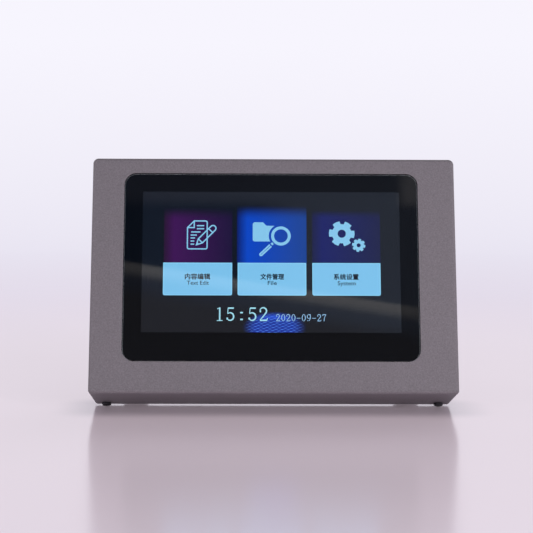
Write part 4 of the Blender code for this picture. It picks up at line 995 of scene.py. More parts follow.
COPIES = PlacedCopies()
SLOTS = SlotGrid()
THREADS = ThreadRidge()


# ---------------------------------------------------------------- housing
@dataclass
class FrontHousing:
    """The folded front panel with its four side walls and the window for the glass."""

    width: float = 218.0
    height: float = 143.0
    depth: float = 48.0
    wall: float = 1.5
    bend: float = 2.0
    corner: float = 3.2
    foot_corner: float = 1.9
    window: Point = (176.6, 114.8)
    window_at: Point = (-1.5, 76.2)
    window_corner: float = 7.3
    screw_x: float = 101.3
    screw_back: float = 6.7
    screw_hole: float = 1.75
    stud_at: Point = (93.0, 51.0)     # from the middle of the panel
    broken_edge: float = 0.22

    def build(self) -> None:
        """Build the shell and the studs that are welded behind its panel."""
        shell = folded_tray("front_housing_shell", (self.width, self.depth, self.height),
            (0.0, -self.depth / 2, self.height / 2), self.wall, self.corner, self.foot_corner, self.bend,
            True)
        x, z = self.window_at
        shell.cut(Shape.box("window", (self.window[0], 4 * self.wall, self.window[1]), (x, -self.depth, z),
            self.window_corner, segments=14))
        hole = Shape.turned("screw_hole", bar(self.screw_hole, 4 * self.wall), ORIGIN, Facing.UP, 32)
        SLOTS.run(shell, BOX_PAINT, Cutter=hole, Columns=2, Rows=2,
            Column_Step=(2 * self.screw_x, 0.0, 0.0), Row_Step=(0.0, 0.0, self.height),
            First=(-self.screw_x, -self.screw_back, 0.0))
        shell.soften(self.broken_edge).settle(BOX_PAINT, ["front_housing"])
        self._build_studs()

    def _build_studs(self) -> None:
        """Set four weld studs with their shoulders behind the panel."""
        stud = Shape.turned("stud", ((0.0, 6.3), (1.3, 6.3), (1.5, 6.0), (1.5, 1.4), (2.6, 1.4), (2.6, 0.0),
            (0.0, 0.0)), ORIGIN, Facing.UP, 24)
        x, z = self.stud_at
        middle = self.height / 2
        points = [(sx * x, -self.depth + self.wall, middle + sz * z) for sz in (-1, 1) for sx in (-1, 1)]
        COPIES.place("panel_weld_studs", stud, points, Facing.BACK, SCREW_ZINC).settle(ZINC)


@dataclass
class RearCover:
    """The flanged rear cover: vents, cut-outs for the ports, clinch nuts and its screws."""

    width: float = 214.4
    height: float = 139.4
    flange: float = 12.0
    wall: float = 1.2
    bend: float = 1.6
    corner: float = 2.4
    foot_corner: float = 0.0
    middle: float = 71.5
    box_height: float = 143.0
    slot: Point = (30.0, 2.4)
    slot_pitch: Point = (36.0, 4.6)
    columns: int = 4
    vents: tuple[tuple[int, float], ...] = ((5, 112.6), (4, 57.0))    # rows, lowest row
    screw_x: float = 101.3
    screw_back: float = 6.7
    nut_bore: float = 1.5
    nut_radius: float = 2.8
    nut_height: float = 1.6
    head_radius: float = 2.8
    head_reach: float = 1.96
    head_land: float = 1.9
    shank_radius: float = 1.45
    shank_length: float = 7.0
    broken_edge: float = 0.18

    def build(self) -> None:
        """Build the cover, then the nuts in its flanges and the screws through them."""
        cover = folded_tray("rear_cover_sheet", (self.width, self.flange, self.height),
            (0.0, -self.flange / 2, self.middle), self.wall, self.corner, self.foot_corner, self.bend,
            False)
        for cutter in self._cut_outs():
            cover.cut(cutter)
        left = -self.slot_pitch[0] * (self.columns - 1) / 2
        for rows, lowest in self.vents:
            cutter = Shape.box("slot", (self.slot[0], 4 * self.wall, self.slot[1]), ORIGIN,
                self.slot[1] / 2 - 0.02, segments=6)
            SLOTS.run(cover, COVER_PAINT, Cutter=cutter, Columns=self.columns, Rows=rows,
                Column_Step=(self.slot_pitch[0], 0.0, 0.0), Row_Step=(0.0, 0.0, self.slot_pitch[1]),
                First=(left, -self.wall / 2, lowest))
        bore = Shape.turned("bore", bar(1.75, 12.0), ORIGIN, Facing.UP, 32)
        SLOTS.run(cover, COVER_PAINT, Cutter=bore, Columns=2, Rows=2,
            Column_Step=(2 * self.screw_x, 0.0, 0.0), Row_Step=(0.0, 0.0, self.height),
            First=(-self.screw_x, -self.screw_back, self.middle - self.height / 2))
        cover.soften(self.broken_edge).settle(COVER_PAINT, ["rear_cover"])
        self._build_nuts()
        self._build_screws()

    def _cut_outs(self) -> list[Shape]:
        """Return a cutter for each port, switch and socket."""
        depth = 4 * self.wall
        found = [Shape.box(f"cut_{index}", (width, depth, height), (x, -self.wall / 2, z), 0.4, segments=3)
            for index, (width, height, x, z) in enumerate(((41.6, 11.2, -35.0, 15.0),
            (14.0, 6.6, 3.0, 15.0), (16.6, 14.0, 21.0, 15.0), (13.6, 19.8, -71.5, 43.0)))]
        rounds = ((5.7, 40.0, 15.0), (5.7, 56.0, 15.0), (5.7, 72.0, 15.0), (5.7, -71.5, 17.0),
            (1.75, -60.0, 90.0), (1.75, -58.5, 15.0), (1.75, -11.5, 15.0))
        found += [Shape.turned(f"round_{index}", bar(radius, depth), (x, -self.wall / 2, z), Facing.BACK,
            40) for index, (radius, x, z) in enumerate(rounds)]
        return found

    def _build_nuts(self) -> None:
        """Press four clinch nuts into the flanges, each a ring with a collar."""
        bore, wide, high = self.nut_bore, self.nut_radius, self.nut_height
        nut = Shape.turned("nut", ((bore, 0.0), (bore, high), (wide - 0.3, high), (wide, high - 0.3),
            (wide, 0.0)), ORIGIN, Facing.UP, 24)
        reach = self.height / 2 - self.wall
        points = [((x, -self.screw_back, self.middle + side * reach), (0.0, 0.0, -side)) for side in (-1, 1)
            for x in (-self.screw_x, self.screw_x)]
        COPIES.place_each("cover_clinch_nuts", nut, points, ZINC).settle(ZINC)

    def _build_screws(self) -> None:
        """Drive four cross-recessed pan head screws; the lower two carry the box."""
        top, land, head = self.head_reach, self.head_land, self.head_radius
        dome = arc((land, top / 2), (head - land, top / 2), 90.0, 0.0, 6)
        screw = Shape.turned("screw", ((0.0, top), *dome, (head, 0.1), (self.shank_radius, 0.1),
            (self.shank_radius, -self.shank_length + 0.5), (self.shank_radius - 0.4, -self.shank_length),
            (0.0, -self.shank_length)), ORIGIN, Facing.UP, 40)
        for turn in (0.0, 90.0):
            wing = Shape.box("wing", (2.9, 0.62, 1.5), (0.0, 0.0, top))
            wing.item.data.transform(rotation(turn, "Z"))
            screw.cut(wing)
        screw.soften(0.08)
        points = [((x, -self.screw_back, place), (0.0, 0.0, side))
            for place, side in ((0.0, -1.0), (self.box_height, 1.0)) for x in (-self.screw_x, self.screw_x)]
        names = [f"cover_screw_{row}_{hand}" for row in ("bottom", "top") for hand in ("left", "right")]
        COPIES.place_each("cover_pan_head_screws", screw, points, BLACK_ZINC).settle(BLACK_ZINC, names)


# ---------------------------------------------------------------- glass and screen
@dataclass
class CoverGlass:
    """The clear touch glass and the black border printed on its back."""

    size: Point = (176.0, 114.2)
    thickness: float = 1.8
    corner: float = 7.0
    at: Place = (-1.5, -46.8, 76.2)
    edge: float = 0.3
    window: Span = (-78.6, 75.6, 36.4, 122.4)   # x, x, z, z
    ink_inset: float = 0.35
    ink_level: float = -45.92      # the ink's middle, sunk into the back of the glass
    ink_thickness: float = 0.06

    def build(self) -> None:
        """Build the pane and its printed border."""
        pane = Shape.box("cover_glass_pane", (self.size[0], self.thickness, self.size[1]), self.at,
            self.corner, segments=16)
        pane.soften(self.edge, 3, 60.0).settle(PANE, ["cover_glass"])
        left, right, low, high = self.window
        border = Shape.box("cover_glass_printed_border", (self.size[0] - 2 * self.ink_inset,
            self.ink_thickness, self.size[1] - 2 * self.ink_inset),
            (self.at[0], self.ink_level, self.at[2]), self.corner - self.ink_inset, segments=16)
        border.cut(Shape.box("lit_window", (right - left, 1.0, high - low),
            ((left + right) / 2, self.ink_level, (low + high) / 2)))
        border.settle(BORDER_INK)


class FlatPen:
    """Draws flat marks in screen millimetres and makes them one thin piece."""

    origin = (-78.6, 36.4)       # lower left corner of the lit area in the housing's x and z
    thickness = 0.02
    hair = 0.002

    def __init__(self, name: str) -> None:
        """Start an empty drawing."""
        self.name = name
        self.form = bmesh.new()

    def polygon(self, outline: Sequence[Point]) -> "FlatPen":
        """Fill an outline, which may be hollow-sided."""
        face = self.form.faces.new([self.form.verts.new((u, v, 0.0)) for u, v in outline])
        bmesh.ops.triangulate(self.form, faces=[face])
        return self

    def band(self, inner: Sequence[Point], outer: Sequence[Point]) -> "FlatPen":
        """Fill between two closed outlines of as many points."""
        rows = [[self.form.verts.new((u, v, 0.0)) for u, v in line] for line in (inner, outer)]
        count = len(inner)
        for index in range(count):
            after = (index + 1) % count
            self.form.faces.new((rows[0][index], rows[0][after], rows[1][after], rows[1][index]))
        return self

    def stroke(self, path: Sequence[Point], width: float, end_width: float | None = None,
            closed: bool = False) -> "FlatPen":
        """Draw a line of some width along a path.

        Args:
            path: the points that it follows.
            width: its width at the start.
            end_width: its width at the end, when that differs.
            closed: whether the path runs back to its start.

        Returns:
            The pen itself.
        """
        count = len(path)
        last = width if end_width is None else end_width
        left, right = [], []
        for index, point in enumerate(path):
            before = Vector(path[index - 1] if index or closed else point)
            after = Vector(path[(index + 1) % count] if index < count - 1 or closed else point)
            here = Vector(point)
            one = (here - before).normalized() if (here - before).length else None
            two = (after - here).normalized() if (after - here).length else None
            way = ((one or two) + (two or one)).normalized()
            lean = way.dot(one or two)
            side = Vector((-way.y, way.x)) / max(lean, 0.5)
            half = (width + (last - width) * index / max(count - 1, 1)) / 2
            left.append(tuple(here + side * half))
            right.append(tuple(here - side * half))
        if closed:
            return self.band(right, left)
        return self.polygon(left + right[::-1])

    def lettering(self, text: str, span: Span, bold: float = 0.0) -> "FlatPen":
        """Set a word in Blender's own typeface, fitted to a frame.

        Args:
            text: the word.
            span: the left, right, lower and upper limits that its outline fills.
            bold: how far apart the word is struck again to thicken it, each time a hair
                nearer to the eye.

        Returns:
            The pen itself.
        """
        curve = bpy.data.curves.new(self.name + "_word", "FONT")
        curve.body = text
        curve.resolution_u = 3
        word = place_object(curve.name, curve)
        graph = bpy.context.evaluated_depsgraph_get()
        mesh = bpy.data.meshes.new_from_object(word.evaluated_get(graph), depsgraph=graph)
        xs = [vert.co.x for vert in mesh.vertices]
        ys = [vert.co.y for vert in mesh.vertices]
        left, right, low, high = span
        wide = (right - left) / (max(xs) - min(xs))
        tall = (high - low) / (max(ys) - min(ys))
        mesh.transform(Matrix.Translation((left, low, 0.0)) @ Matrix.Diagonal((wide, tall, 1.0, 1.0))
            @ Matrix.Translation((-min(xs), -min(ys), 0.0)))
        for step, (right_by, up_by) in enumerate(((-1, 0), (1, 0), (0, 1), (0, -1))):
            if step == 0 or bold:
                struck = mesh.copy()
                struck.transform(Matrix.Translation((bold * right_by / 2, bold * up_by / 2,
                    self.hair * step)))
                self.form.from_mesh(struck)
                bpy.data.meshes.remove(struck)
        bpy.data.objects.remove(word)
        bpy.data.meshes.remove(mesh)
        return self

    def finish(self, level: float, finish: Finish) -> Item:
        """Give the drawing its thickness, lay it on the screen and settle it.

        Args:
            level: the housing's y of its front.
            finish: what it is made of.

        Returns:
            The finished object.
        """
        bmesh.ops.remove_doubles(self.form, verts=self.form.verts, dist=self.hair / 4)
        bmesh.ops.recalc_face_normals(self.form, faces=self.form.faces)
        sweep(self.form, self.form.faces[:], (0.0, 0.0, -self.thickness))
        layer = self.form.loops.layers.uv.new(SCREEN_MAP)
        for face in self.form.faces:
            for loop in face.loops:
                loop[layer].uv = loop.vert.co.xy
        self.form.transform(Matrix.Translation((self.origin[0], level, self.origin[1]))
            @ rotation(90.0, "X"))
        return Shape.from_bmesh(self.name, self.form).settle(finish)


@dataclass
class Numerals:
    """Thin serif numerals with heavy stems, drawn as strokes in a cell one wide and two high."""

    cell: float                  # width of a cell in millimetres
    height: float                # height of a numeral
    heavy: float = 0.145
    light: float = 0.08

    def draw(self, pen: FlatPen, text: str, left: float, low: float) -> FlatPen:
        """Draw a row of numerals.

        Args:
            pen: the pen that draws them.
            text: digits, colons and hyphens.
            left: where the first cell starts.
            low: the foot of the numerals.

        Returns:
            The pen.
        """
        wide = self.cell * 0.92
        for index, sign in enumerate(text):
            for path, start, end in self._strokes(sign):
                placed = [(left + self.cell * index + u * wide, low + v * self.height / 2) for u, v in path]
                pen.stroke(placed, start * wide, end * wide)
        return pen

    def _strokes(self, sign: str) -> list[tuple[list[Point], float, float]]:
        """Return each stroke of a sign as its path and its two widths."""
        h, t = self.heavy, self.light
        dot = [((0.5, y - 0.11), (0.5, y + 0.11)) for y in (0.22, 1.22)]
        shapes = {
            "0": [(arc((0.5, 1.0), (0.33, 0.93), 90.0, 270.0), t, t),
                  (arc((0.5, 1.0), (0.33, 0.93), -90.0, 90.0), t, t),
                  (arc((0.5, 1.0), (0.345, 0.8), 130.0, 230.0, 8), h, h),
                  (arc((0.5, 1.0), (0.345, 0.8), -50.0, 50.0, 8), h, h)],
            "1": [([(0.52, 0.0), (0.52, 1.98)], h, h), ([(0.5, 1.9), (0.27, 1.76)], t, t),
                  ([(0.24, 0.05), (0.8, 0.05)], t, t)],
            "2": [(arc((0.47, 1.45), (0.33, 0.5), 165.0, 60.0, 8), t, h),
                  (arc((0.47, 1.45), (0.33, 0.5), 60.0, -25.0, 8), h, h),
                  ([(0.77, 1.25), (0.45, 0.62), (0.16, 0.14)], h, t),
                  ([(0.14, 0.09), (0.84, 0.09)], h, h), ([(0.84, 0.1), (0.88, 0.42)], t, t),
                  ([(0.12, 1.42), (0.26, 1.42)], 0.2, 0.2)],
            "5": [([(0.26, 1.88), (0.82, 1.88)], h, h), ([(0.26, 1.9), (0.22, 1.08)], t, t),
                  (arc((0.46, 0.64), (0.35, 0.56), 135.0, 60.0, 8), t, h),
                  (arc((0.46, 0.64), (0.35, 0.56), 60.0, -60.0, 10), h, h),
                  (arc((0.46, 0.64), (0.35, 0.56), -60.0, -150.0, 8), h, t),
                  ([(0.1, 0.34), (0.26, 0.34)], 0.2, 0.2)],
            "7": [([(0.16, 1.88), (0.86, 1.88)], h, h), ([(0.17, 1.9), (0.14, 1.55)], t, t),
                  ([(0.82, 1.84), (0.52, 1.0), (0.44, 0.02)], t, h)],
            "9": [(arc((0.48, 1.36), (0.33, 0.58), 90.0, 450.0, 24), t, t),
                  (arc((0.48, 1.36), (0.34, 0.45), 125.0, 235.0, 8), h, h),
                  (arc((0.3, 1.3), (0.53, 1.24), 35.0, -75.0, 12), h, t),
                  ([(0.16, 0.2), (0.3, 0.2)], 0.2, 0.2)],
            ":": [(list(path), 0.27, 0.27) for path in dot],
            "-": [([(0.08, 0.85), (0.92, 0.85)], t, t)],
        }
        return shapes[sign]


@dataclass
class ScreenImage:
    """The lit picture: three tiles with their signs and labels, the clock and a blue glow."""

    tile_level: float = -45.68
    label_level: float = -45.73
    mark_level: float = -45.79
    label_low: float = 22.4
    label_high: float = 42.3
    label_sides: tuple[Point, ...] = ((12.6, 53.8), (57.05, 98.0), (101.6, 142.35))
    line: float = 0.74

    def build(self) -> None:
        """Build the tiles and labels, then what is drawn on them."""
        self._build_tiles()
        self._build_labels()
        self._build_words()
        self._build_document_sign()
        self._build_search_sign()
        self._build_gear_sign()
        self._build_clock()

    def _build_tiles(self) -> None:
        """Lay the three coloured tiles above the labels."""
        tiles = (("edit", "#280426", "#3f0550", "#1a0232", 12.9, 53.8, 77.0, 9.0),
            ("file", "#001160", "#0045c8", "#003c92", 56.6, 98.2, 78.0, 9.5), ("system", "#06063b",
            "#050b60", "#0d0d40", 101.6, 142.4, 75.5, 6.0))
        low = self.label_high - 0.3
        for name, edge, middle, far, left, right, top, fade in tiles:
            glow = LitCells(f"lit_cells_{name}_tile", Slot.LCD_FILM, edge, middle, far, (left, right),
                top=top, fade=fade)
            pen = FlatPen(f"screen_{name}_tile")
            pen.polygon(((left, low), (right, low), (right, top), (left, top)))
            pen.finish(self.tile_level, glow)

    def _build_labels(self) -> None:
        """Lay the three pale blue labels, each with a brighter rim."""
        plate = self._even_light("label", "#7ec5f0")
        rim = self._even_light("label_rim", "#8ad4fb")
        plates, rims = FlatPen("screen_label_plates"), FlatPen("screen_label_rims")
        for left, right in self.label_sides:
            outlines = []
            for inset, radius in ((0.0, 1.1), (0.55, 0.55)):
                a, b, low = left + inset, right - inset, self.label_low + inset
                high = self.label_high - inset
                outlines.append([(a, high), *arc((a + radius, low + radius), (radius, radius), 180.0, 270.0,
                    6), *arc((b - radius, low + radius), (radius, radius), 270.0, 360.0, 6), (b, high)])
            plates.polygon(outlines[1])
            rims.band(outlines[1], outlines[0])
        plates.finish(self.label_level, plate)
        rims.finish(self.label_level, rim)

    def _build_words(self) -> None:
        """Set the names of the three tiles, in Chinese and in English."""
        pen = FlatPen("screen_words")
        words = (("内容编辑", 25.7, 40.6), ("文件管理", 70.7, 84.6), ("系统设置", 114.4, 129.2))
        for text, left, right in words:
            pen.lettering(text, (left, right, 32.1, 35.6), 0.23)
        pen.finish(self.mark_level, self._even_light("dark_words", "#01040c"))
        pen = FlatPen("screen_small_words")
        for text, left, right in (("Text Edit", 26.9, 39.9), ("File", 75.0, 80.4),
                ("System", 116.7, 127.4)):
            pen.lettering(text, (left, right, 27.9 if text == "System" else 28.8, 31.2), 0.06)
        pen.finish(self.mark_level, self._even_light("small_dark_words", "#041020"))

    def _build_document_sign(self) -> None:
        """Draw the sheet of paper with its lines and the pencil across it."""
        pen = FlatPen("screen_document_sign")
        left, right, low, high = 26.9, 38.7, 50.7, 67.9
        fold_u, fold_v, round_off = 30.9, 63.8, 1.0
        sheet = [(left, fold_v), (fold_u, high), *arc((right - round_off, high - round_off),
            (round_off, round_off), 90.0, 0.0, 5), *arc((right - round_off, low + round_off),
            (round_off, round_off), 0.0, -90.0, 5), *arc((left + round_off, low + round_off),
            (round_off, round_off), -90.0, -180.0, 5)]
        pen.stroke(sheet, self.line, closed=True)
        pen.stroke(((fold_u, high - 0.3), (fold_u, fold_v), (left + 0.3, fold_v)), self.line)
        for start, end, height in ((32.5, 36.9, 65.0), (32.5, 36.9, 63.1), (29.1, 34.7, 61.1),
                (28.8, 32.5, 59.2), (28.8, 31.4, 57.4), (28.8, 31.0, 55.5), (28.8, 31.0, 53.6)):
            pen.stroke(((start, height), (end, height)), self.line)
        tip, far, half = Vector((32.3, 53.2)), Vector((42.2, 63.4)), 1.75
        way = (far - tip).normalized()
        side = Vector((-way.y, way.x))
        turn = degrees(atan2(way.y, way.x))
        neck = tip + way * 3.4
        shaft = [tip, neck + side * half, *map(Vector, arc(tuple(far), (half, half), turn + 90.0,
            turn - 90.0, 10)), neck - side * half]
        pen.stroke([tuple(point) for point in shaft], self.line, closed=True)
        for along in (3.4, 12.2):
            middle = tip + way * along
            pen.stroke((tuple(middle + side * half), tuple(middle - side * half)), self.line)
        point = tip + way * 1.5
        pen.polygon((tuple(tip), tuple(point - side * 0.7), tuple(point + side * 0.7)))
        pen.finish(self.mark_level, self._sign_light())

    def _build_search_sign(self) -> None:
        """Draw the folder and the magnifier that stands clear of it."""
        pen = FlatPen("screen_search_sign")
        centre, gap = (82.9, 58.8), 7.3
        cut = arc(centre, (gap, gap), 122.0, 208.0, 12)
        pen.polygon([(66.9, 55.4), (66.0, 56.2), (66.0, 66.2), (66.9, 67.2), (72.2, 67.2), (74.2, 65.1),
            cut[0], *cut[1:], (cut[-1][0], 55.4)])
        pen.band(arc(centre, (4.1, 4.1), 0.0, 350.0, 35), arc(centre, (5.9, 5.9), 0.0, 350.0, 35))
        pen.stroke(((78.1, 54.4), (77.2, 53.5)), 1.5)
        way = Vector((71.2 - 76.7, 47.6 - 52.9)).normalized()
        side = Vector((-way.y, way.x)) * 0.62
        turn = degrees(atan2(way.y, way.x))
        for sign in (-1, 1):
            start, end = Vector((76.7, 52.9)) + side * sign, Vector((71.0, 47.4)) + side * sign
            pen.stroke((tuple(start), tuple(end)), 0.98)
        pen.polygon(arc((71.0, 47.4), (1.11, 1.11), turn - 90.0, turn + 90.0, 10))
        pen.finish(self.mark_level, self._sign_light())

    def _build_gear_sign(self) -> None:
        """Draw the large and the small gear wheel."""
        pen = FlatPen("screen_gear_sign")
        for centre, outer, root, hole, teeth, start in (((119.4, 60.3), 7.75, 5.9, 2.5, 6, -3.0),
                ((129.5, 53.2), 4.0, 3.2, 1.2, 8, -10.0)):
            rim, bore = [], []
            pitch = 360.0 / teeth
            for tooth in range(teeth):
                for share, radius in ((-0.5, root), (-0.35, root), (-0.285, outer), (0.0, outer),
                        (0.285, outer), (0.35, root)):
                    turn = radians(start + pitch * (tooth + share))
                    way = (cos(turn), sin(turn))
                    rim.append((centre[0] + radius * way[0], centre[1] + radius * way[1]))
                    bore.append((centre[0] + hole * way[0], centre[1] + hole * way[1]))
            pen.band(bore, rim)
        pen.finish(self.mark_level, self._sign_light())

    def _build_clock(self) -> None:
        """Draw the time and the date over the blue glow."""
        glow = FlatPen("screen_wave_glow")
        glow.polygon([(60.0, 0.1), (99.0, 0.1), (99.0, 6.0), (93.0, 12.5), (66.0, 12.5), (60.0, 6.0)])
        glow.finish(self.tile_level, WaveGlow("lit_cells_wave_glow", Slot.LCD_FILM))
        time = Numerals(6.52, 8.2).draw(FlatPen("screen_clock"), "15:52", 43.4, 7.0)
        time.finish(self.mark_level, self._even_light("clock", "#a4e0f2"))
        date = Numerals(3.05, 4.2, 0.17, 0.12).draw(FlatPen("screen_date"), "2020-09-27", 79.7, 6.9)
        date.finish(self.mark_level, self._even_light("date", "#8fbbe2"))

    def _sign_light(self) -> LitCells:
        """Return the pale blue that the three signs are lit in."""
        return self._even_light("signs", "#88caf0")

    @staticmethod
    def _even_light(name: str, tone: str) -> LitCells:
        """Return cells that are all lit in one tone."""
        ground = "#000000" if "words" in name else "#46494b"
        return LitCells(f"lit_cells_{name}", Slot.LCD_FILM, tone, tone, tone, ground=ground)


# ---------------------------------------------------------------- ports
@dataclass
class PrintheadPort:
    """The D-shaped socket for the printhead cable, with its contacts and jackscrews."""

    x: float = -35.0
    z: float = 15.0
    flange: Place = (53.0, 1.0, 12.5)
    shell: Point = (39.0, 8.4)
    reach: float = 7.2               # rear cover's face to the shell's rim
    sheet: float = 0.55
    seat: float = 0.3
    contact_pitch: Point = (2.76, 2.84)
    contacts: tuple[int, int] = (13, 12)
    jackscrew_x: float = 23.5
    body: Place = (41.0, 12.3, 10.6)

    def build(self) -> None:
        """Build the shell and flange, the insulator, the contacts and the jackscrews."""
        flange_middle = self.seat + self.flange[1] / 2
        port = Shape.box("printhead_port_shell", self.flange, (self.x, flange_middle, self.z), 1.5,
            segments=6)
        port.join(self._d_form("outer", 0.0, flange_middle, self.reach))
        port.cut(self._d_form("inner", self.sheet, flange_middle - 2.0, self.reach + 2.0))
        back = Shape.box("back", self.body, (self.x, flange_middle - self.body[1] / 2, self.z), 0.6,
            segments=3)
        port.join(back)
        for side in (-1, 1):
            port.cut(Shape.turned("hole", bar(1.75, 4.0), (self.x + side * self.jackscrew_x, flange_middle,
                self.z), Facing.BACK, 24))
        port.soften(0.12).settle(NICKEL, ["printhead_port"])
        insulator = self._d_form("printhead_port_insulator", self.sheet + 0.12, flange_middle + 0.05,
            self.reach - 0.7)
        rows = [(1.0, self.contacts[0]), (-1.0, self.contacts[1])]
        points = [(self.x + (index - (count - 1) / 2) * self.contact_pitch[0], self.reach - 0.7,
            self.z + side * self.contact_pitch[1] / 2) for side, count in rows for index in range(count)]
        for count, (side, _) in zip(self.contacts, rows):
            bore = Shape.turned("bore", bar(0.62, 5.0), ORIGIN, Facing.BACK, 12)
            start = self.x - (count - 1) / 2 * self.contact_pitch[0]
            SLOTS.run(insulator, BLACK_PLASTIC, Cutter=bore, Columns=count, Rows=1,
                Column_Step=(self.contact_pitch[0], 0.0, 0.0), Row_Step=(0.0, 0.0, 1.0),
                First=(start, self.reach - 0.7, self.z + side * self.contact_pitch[1] / 2))
        insulator.settle(BLACK_PLASTIC)
        sleeve = Shape.turned("sleeve", ((0.36, -0.35), (0.54, -0.35), (0.54, -2.4), (0.36, -2.4)), ORIGIN,
            Facing.UP, 12)
        COPIES.place("printhead_port_contacts", sleeve, points, Facing.BACK, GOLD_PLATE).settle(GOLD_PLATE)
        self._build_jackscrews()

    def _d_form(self, name: str, inset: float, start: float, end: float) -> Shape:
        """Return the D-shaped block between two depths, drawn in by an inset."""
        half_w, half_h = self.shell[0] / 2 - inset, self.shell[1] / 2 - inset
        slant = 2 * half_h * tan(radians(10.0))
        radius = 2.2 - inset
        corners = ((half_w, half_h, 0.0), (-half_w, half_h, 90.0), (-half_w + slant, -half_h, 180.0),
            (half_w - slant, -half_h, 270.0))
        outline = []
        for x, z, turn in corners:
            middle = (x - copysign(radius, x), z - copysign(radius, z))
            outline += arc(middle, (radius, radius), turn, turn + 90.0, 7)
        return Shape.from_bmesh(name, block([(self.x + x, start, self.z + z) for x, z in outline],
            (0.0, end - start, 0.0)))

    def _build_jackscrews(self) -> None:
        """Set the two hexagon jackscrews, bored for the cable's own screws."""
        screw = Shape.prism("screw", hexagon(2.9), 4.8, ORIGIN, Facing.UP)
        crown = Shape.turned("crown", ((0.0, 4.8), (2.45, 4.8), (3.2, 4.36), (3.2, 0.3), (2.6, 0.0),
            (0.0, 0.0)), ORIGIN, Facing.UP, 36)
        screw.apply("BOOLEAN", operation="INTERSECT", object=crown.item, solver="EXACT")
        crown.discard()
        screw.cut(Shape.turned("bore", ((0.0, 5.0), (1.7, 5.0), (1.25, 4.45), (1.25, 1.2), (0.0, 0.9)),
            ORIGIN, Facing.UP, 24))
        screw.join(Shape.turned("shank", ((0.0, 0.5), (1.45, 0.5), (1.45, -6.5), (1.1, -7.0), (0.0, -7.0)),
            ORIGIN, Facing.UP, 24))
        seat = self.seat + self.flange[1] + 0.3
        points = [(self.x + side * self.jackscrew_x, seat, self.z) for side in (-1, 1)]
        screws = COPIES.place("printhead_port_jackscrews", screw.soften(0.07), points, Facing.BACK,
            SCREW_ZINC)
        screws.settle(ZINC, ["jackscrew_left", "jackscrew_right"])


@dataclass
class BoardPorts:
    """The USB and network sockets that stand on the main board."""

    z: float = 15.0
    foot: float = -13.2
    front: float = 0.8
    usb_x: float = 3.0
    net_x: float = 21.0

    def build(self) -> None:
        """Build both sockets with their contacts."""
        self._build_usb()
        self._build_network()

    def _build_usb(self) -> None:
        """Build the USB socket: shell, springs, tongue and four contacts."""
        depth = self.front - self.foot
        middle = (self.front + self.foot) / 2
        shell = Shape.box("usb_port_shell", (13.4, depth, 6.0), (self.usb_x, middle, self.z), 0.7,
            segments=4)
        shell.cut(Shape.box("mouth", (12.4, 13.6, 5.0), (self.usb_x, self.front - 4.8, self.z), 0.35,
            segments=3))
        shell.soften(0.1).settle(NICKEL, ["usb_port"])
        tongue_z = self.z + 1.1
        tongue = Shape.box("usb_port_tongue", (11.0, 10.4, 1.8), (self.usb_x, self.front - 6.2, tongue_z),
            0.25, segments=3)
        tongue.soften(0.1).settle(BLACK_PLASTIC)
        strip = Shape.box("strip", (1.0, 0.24, 7.2), ORIGIN, 0.1, axis=0, segments=2)
        points = [((self.usb_x + offset, self.front - 5.4, tongue_z - 0.95), (0.0, 1.0, 0.0))
            for offset in (-3.5, -1.0, 1.0, 3.5)]
        COPIES.place_each("usb_port_contacts", strip, points, GOLD_PLATE).settle(GOLD_PLATE)
        spring = Shape.box("spring", (1.5, 0.35, 5.5), ORIGIN, 0.15, axis=0, segments=2)
        points = [((self.usb_x + x, self.front - 4.0, self.z - 2.35), (0.0, 1.0, 0.0)) for x in (-3.2, 3.2)]
        COPIES.place_each("usb_port_springs", spring, points, NICKEL).settle(NICKEL)

    def _build_network(self) -> None:
        """Build the network socket: shielded case, stepped mouth, liner and contacts."""
        depth = self.front - self.foot
        middle = (self.front + self.foot) / 2
        case = Shape.box("network_port_shield", (16.0, depth, 13.4), (self.net_x, middle, self.z), 0.3,
            segments=2)
        mouth_z = self.z - 0.8
        reach = self.front - 4.8
        case.cut(Shape.box("mouth", (12.4, 13.2, 8.0), (self.net_x, reach, mouth_z)),
            Shape.box("latch", (6.8, 13.2, 6.4), (self.net_x, reach, mouth_z + 3.5)))
        case.soften(0.1).settle(NICKEL, ["ethernet_port"])
        liner = Shape.box("network_port_liner", (12.38, 11.0, 7.98),
            (self.net_x, self.front - 5.9, mouth_z))
        liner.cut(Shape.box("bay", (11.8, 13.0, 7.4), (self.net_x, reach + 1.0, mouth_z)),
            Shape.box("key", (6.2, 13.0, 6.0), (self.net_x, reach + 1.0, mouth_z + 3.6)))
        liner.settle(BLACK_PLASTIC)
        wire = Shape.box("wire", (0.46, 0.3, 7.5), ORIGIN)
        wire.item.data.transform(rotation(-14.0, "X"))
        points = [((self.net_x + (index - 3.5) * 1.02, self.front - 6.2, mouth_z - 2.1), (0.0, 1.0, 0.0))
            for index in range(8)]
        COPIES.place_each("network_port_contacts", wire.soften(0.05), points, GOLD_PLATE).settle(GOLD_PLATE)


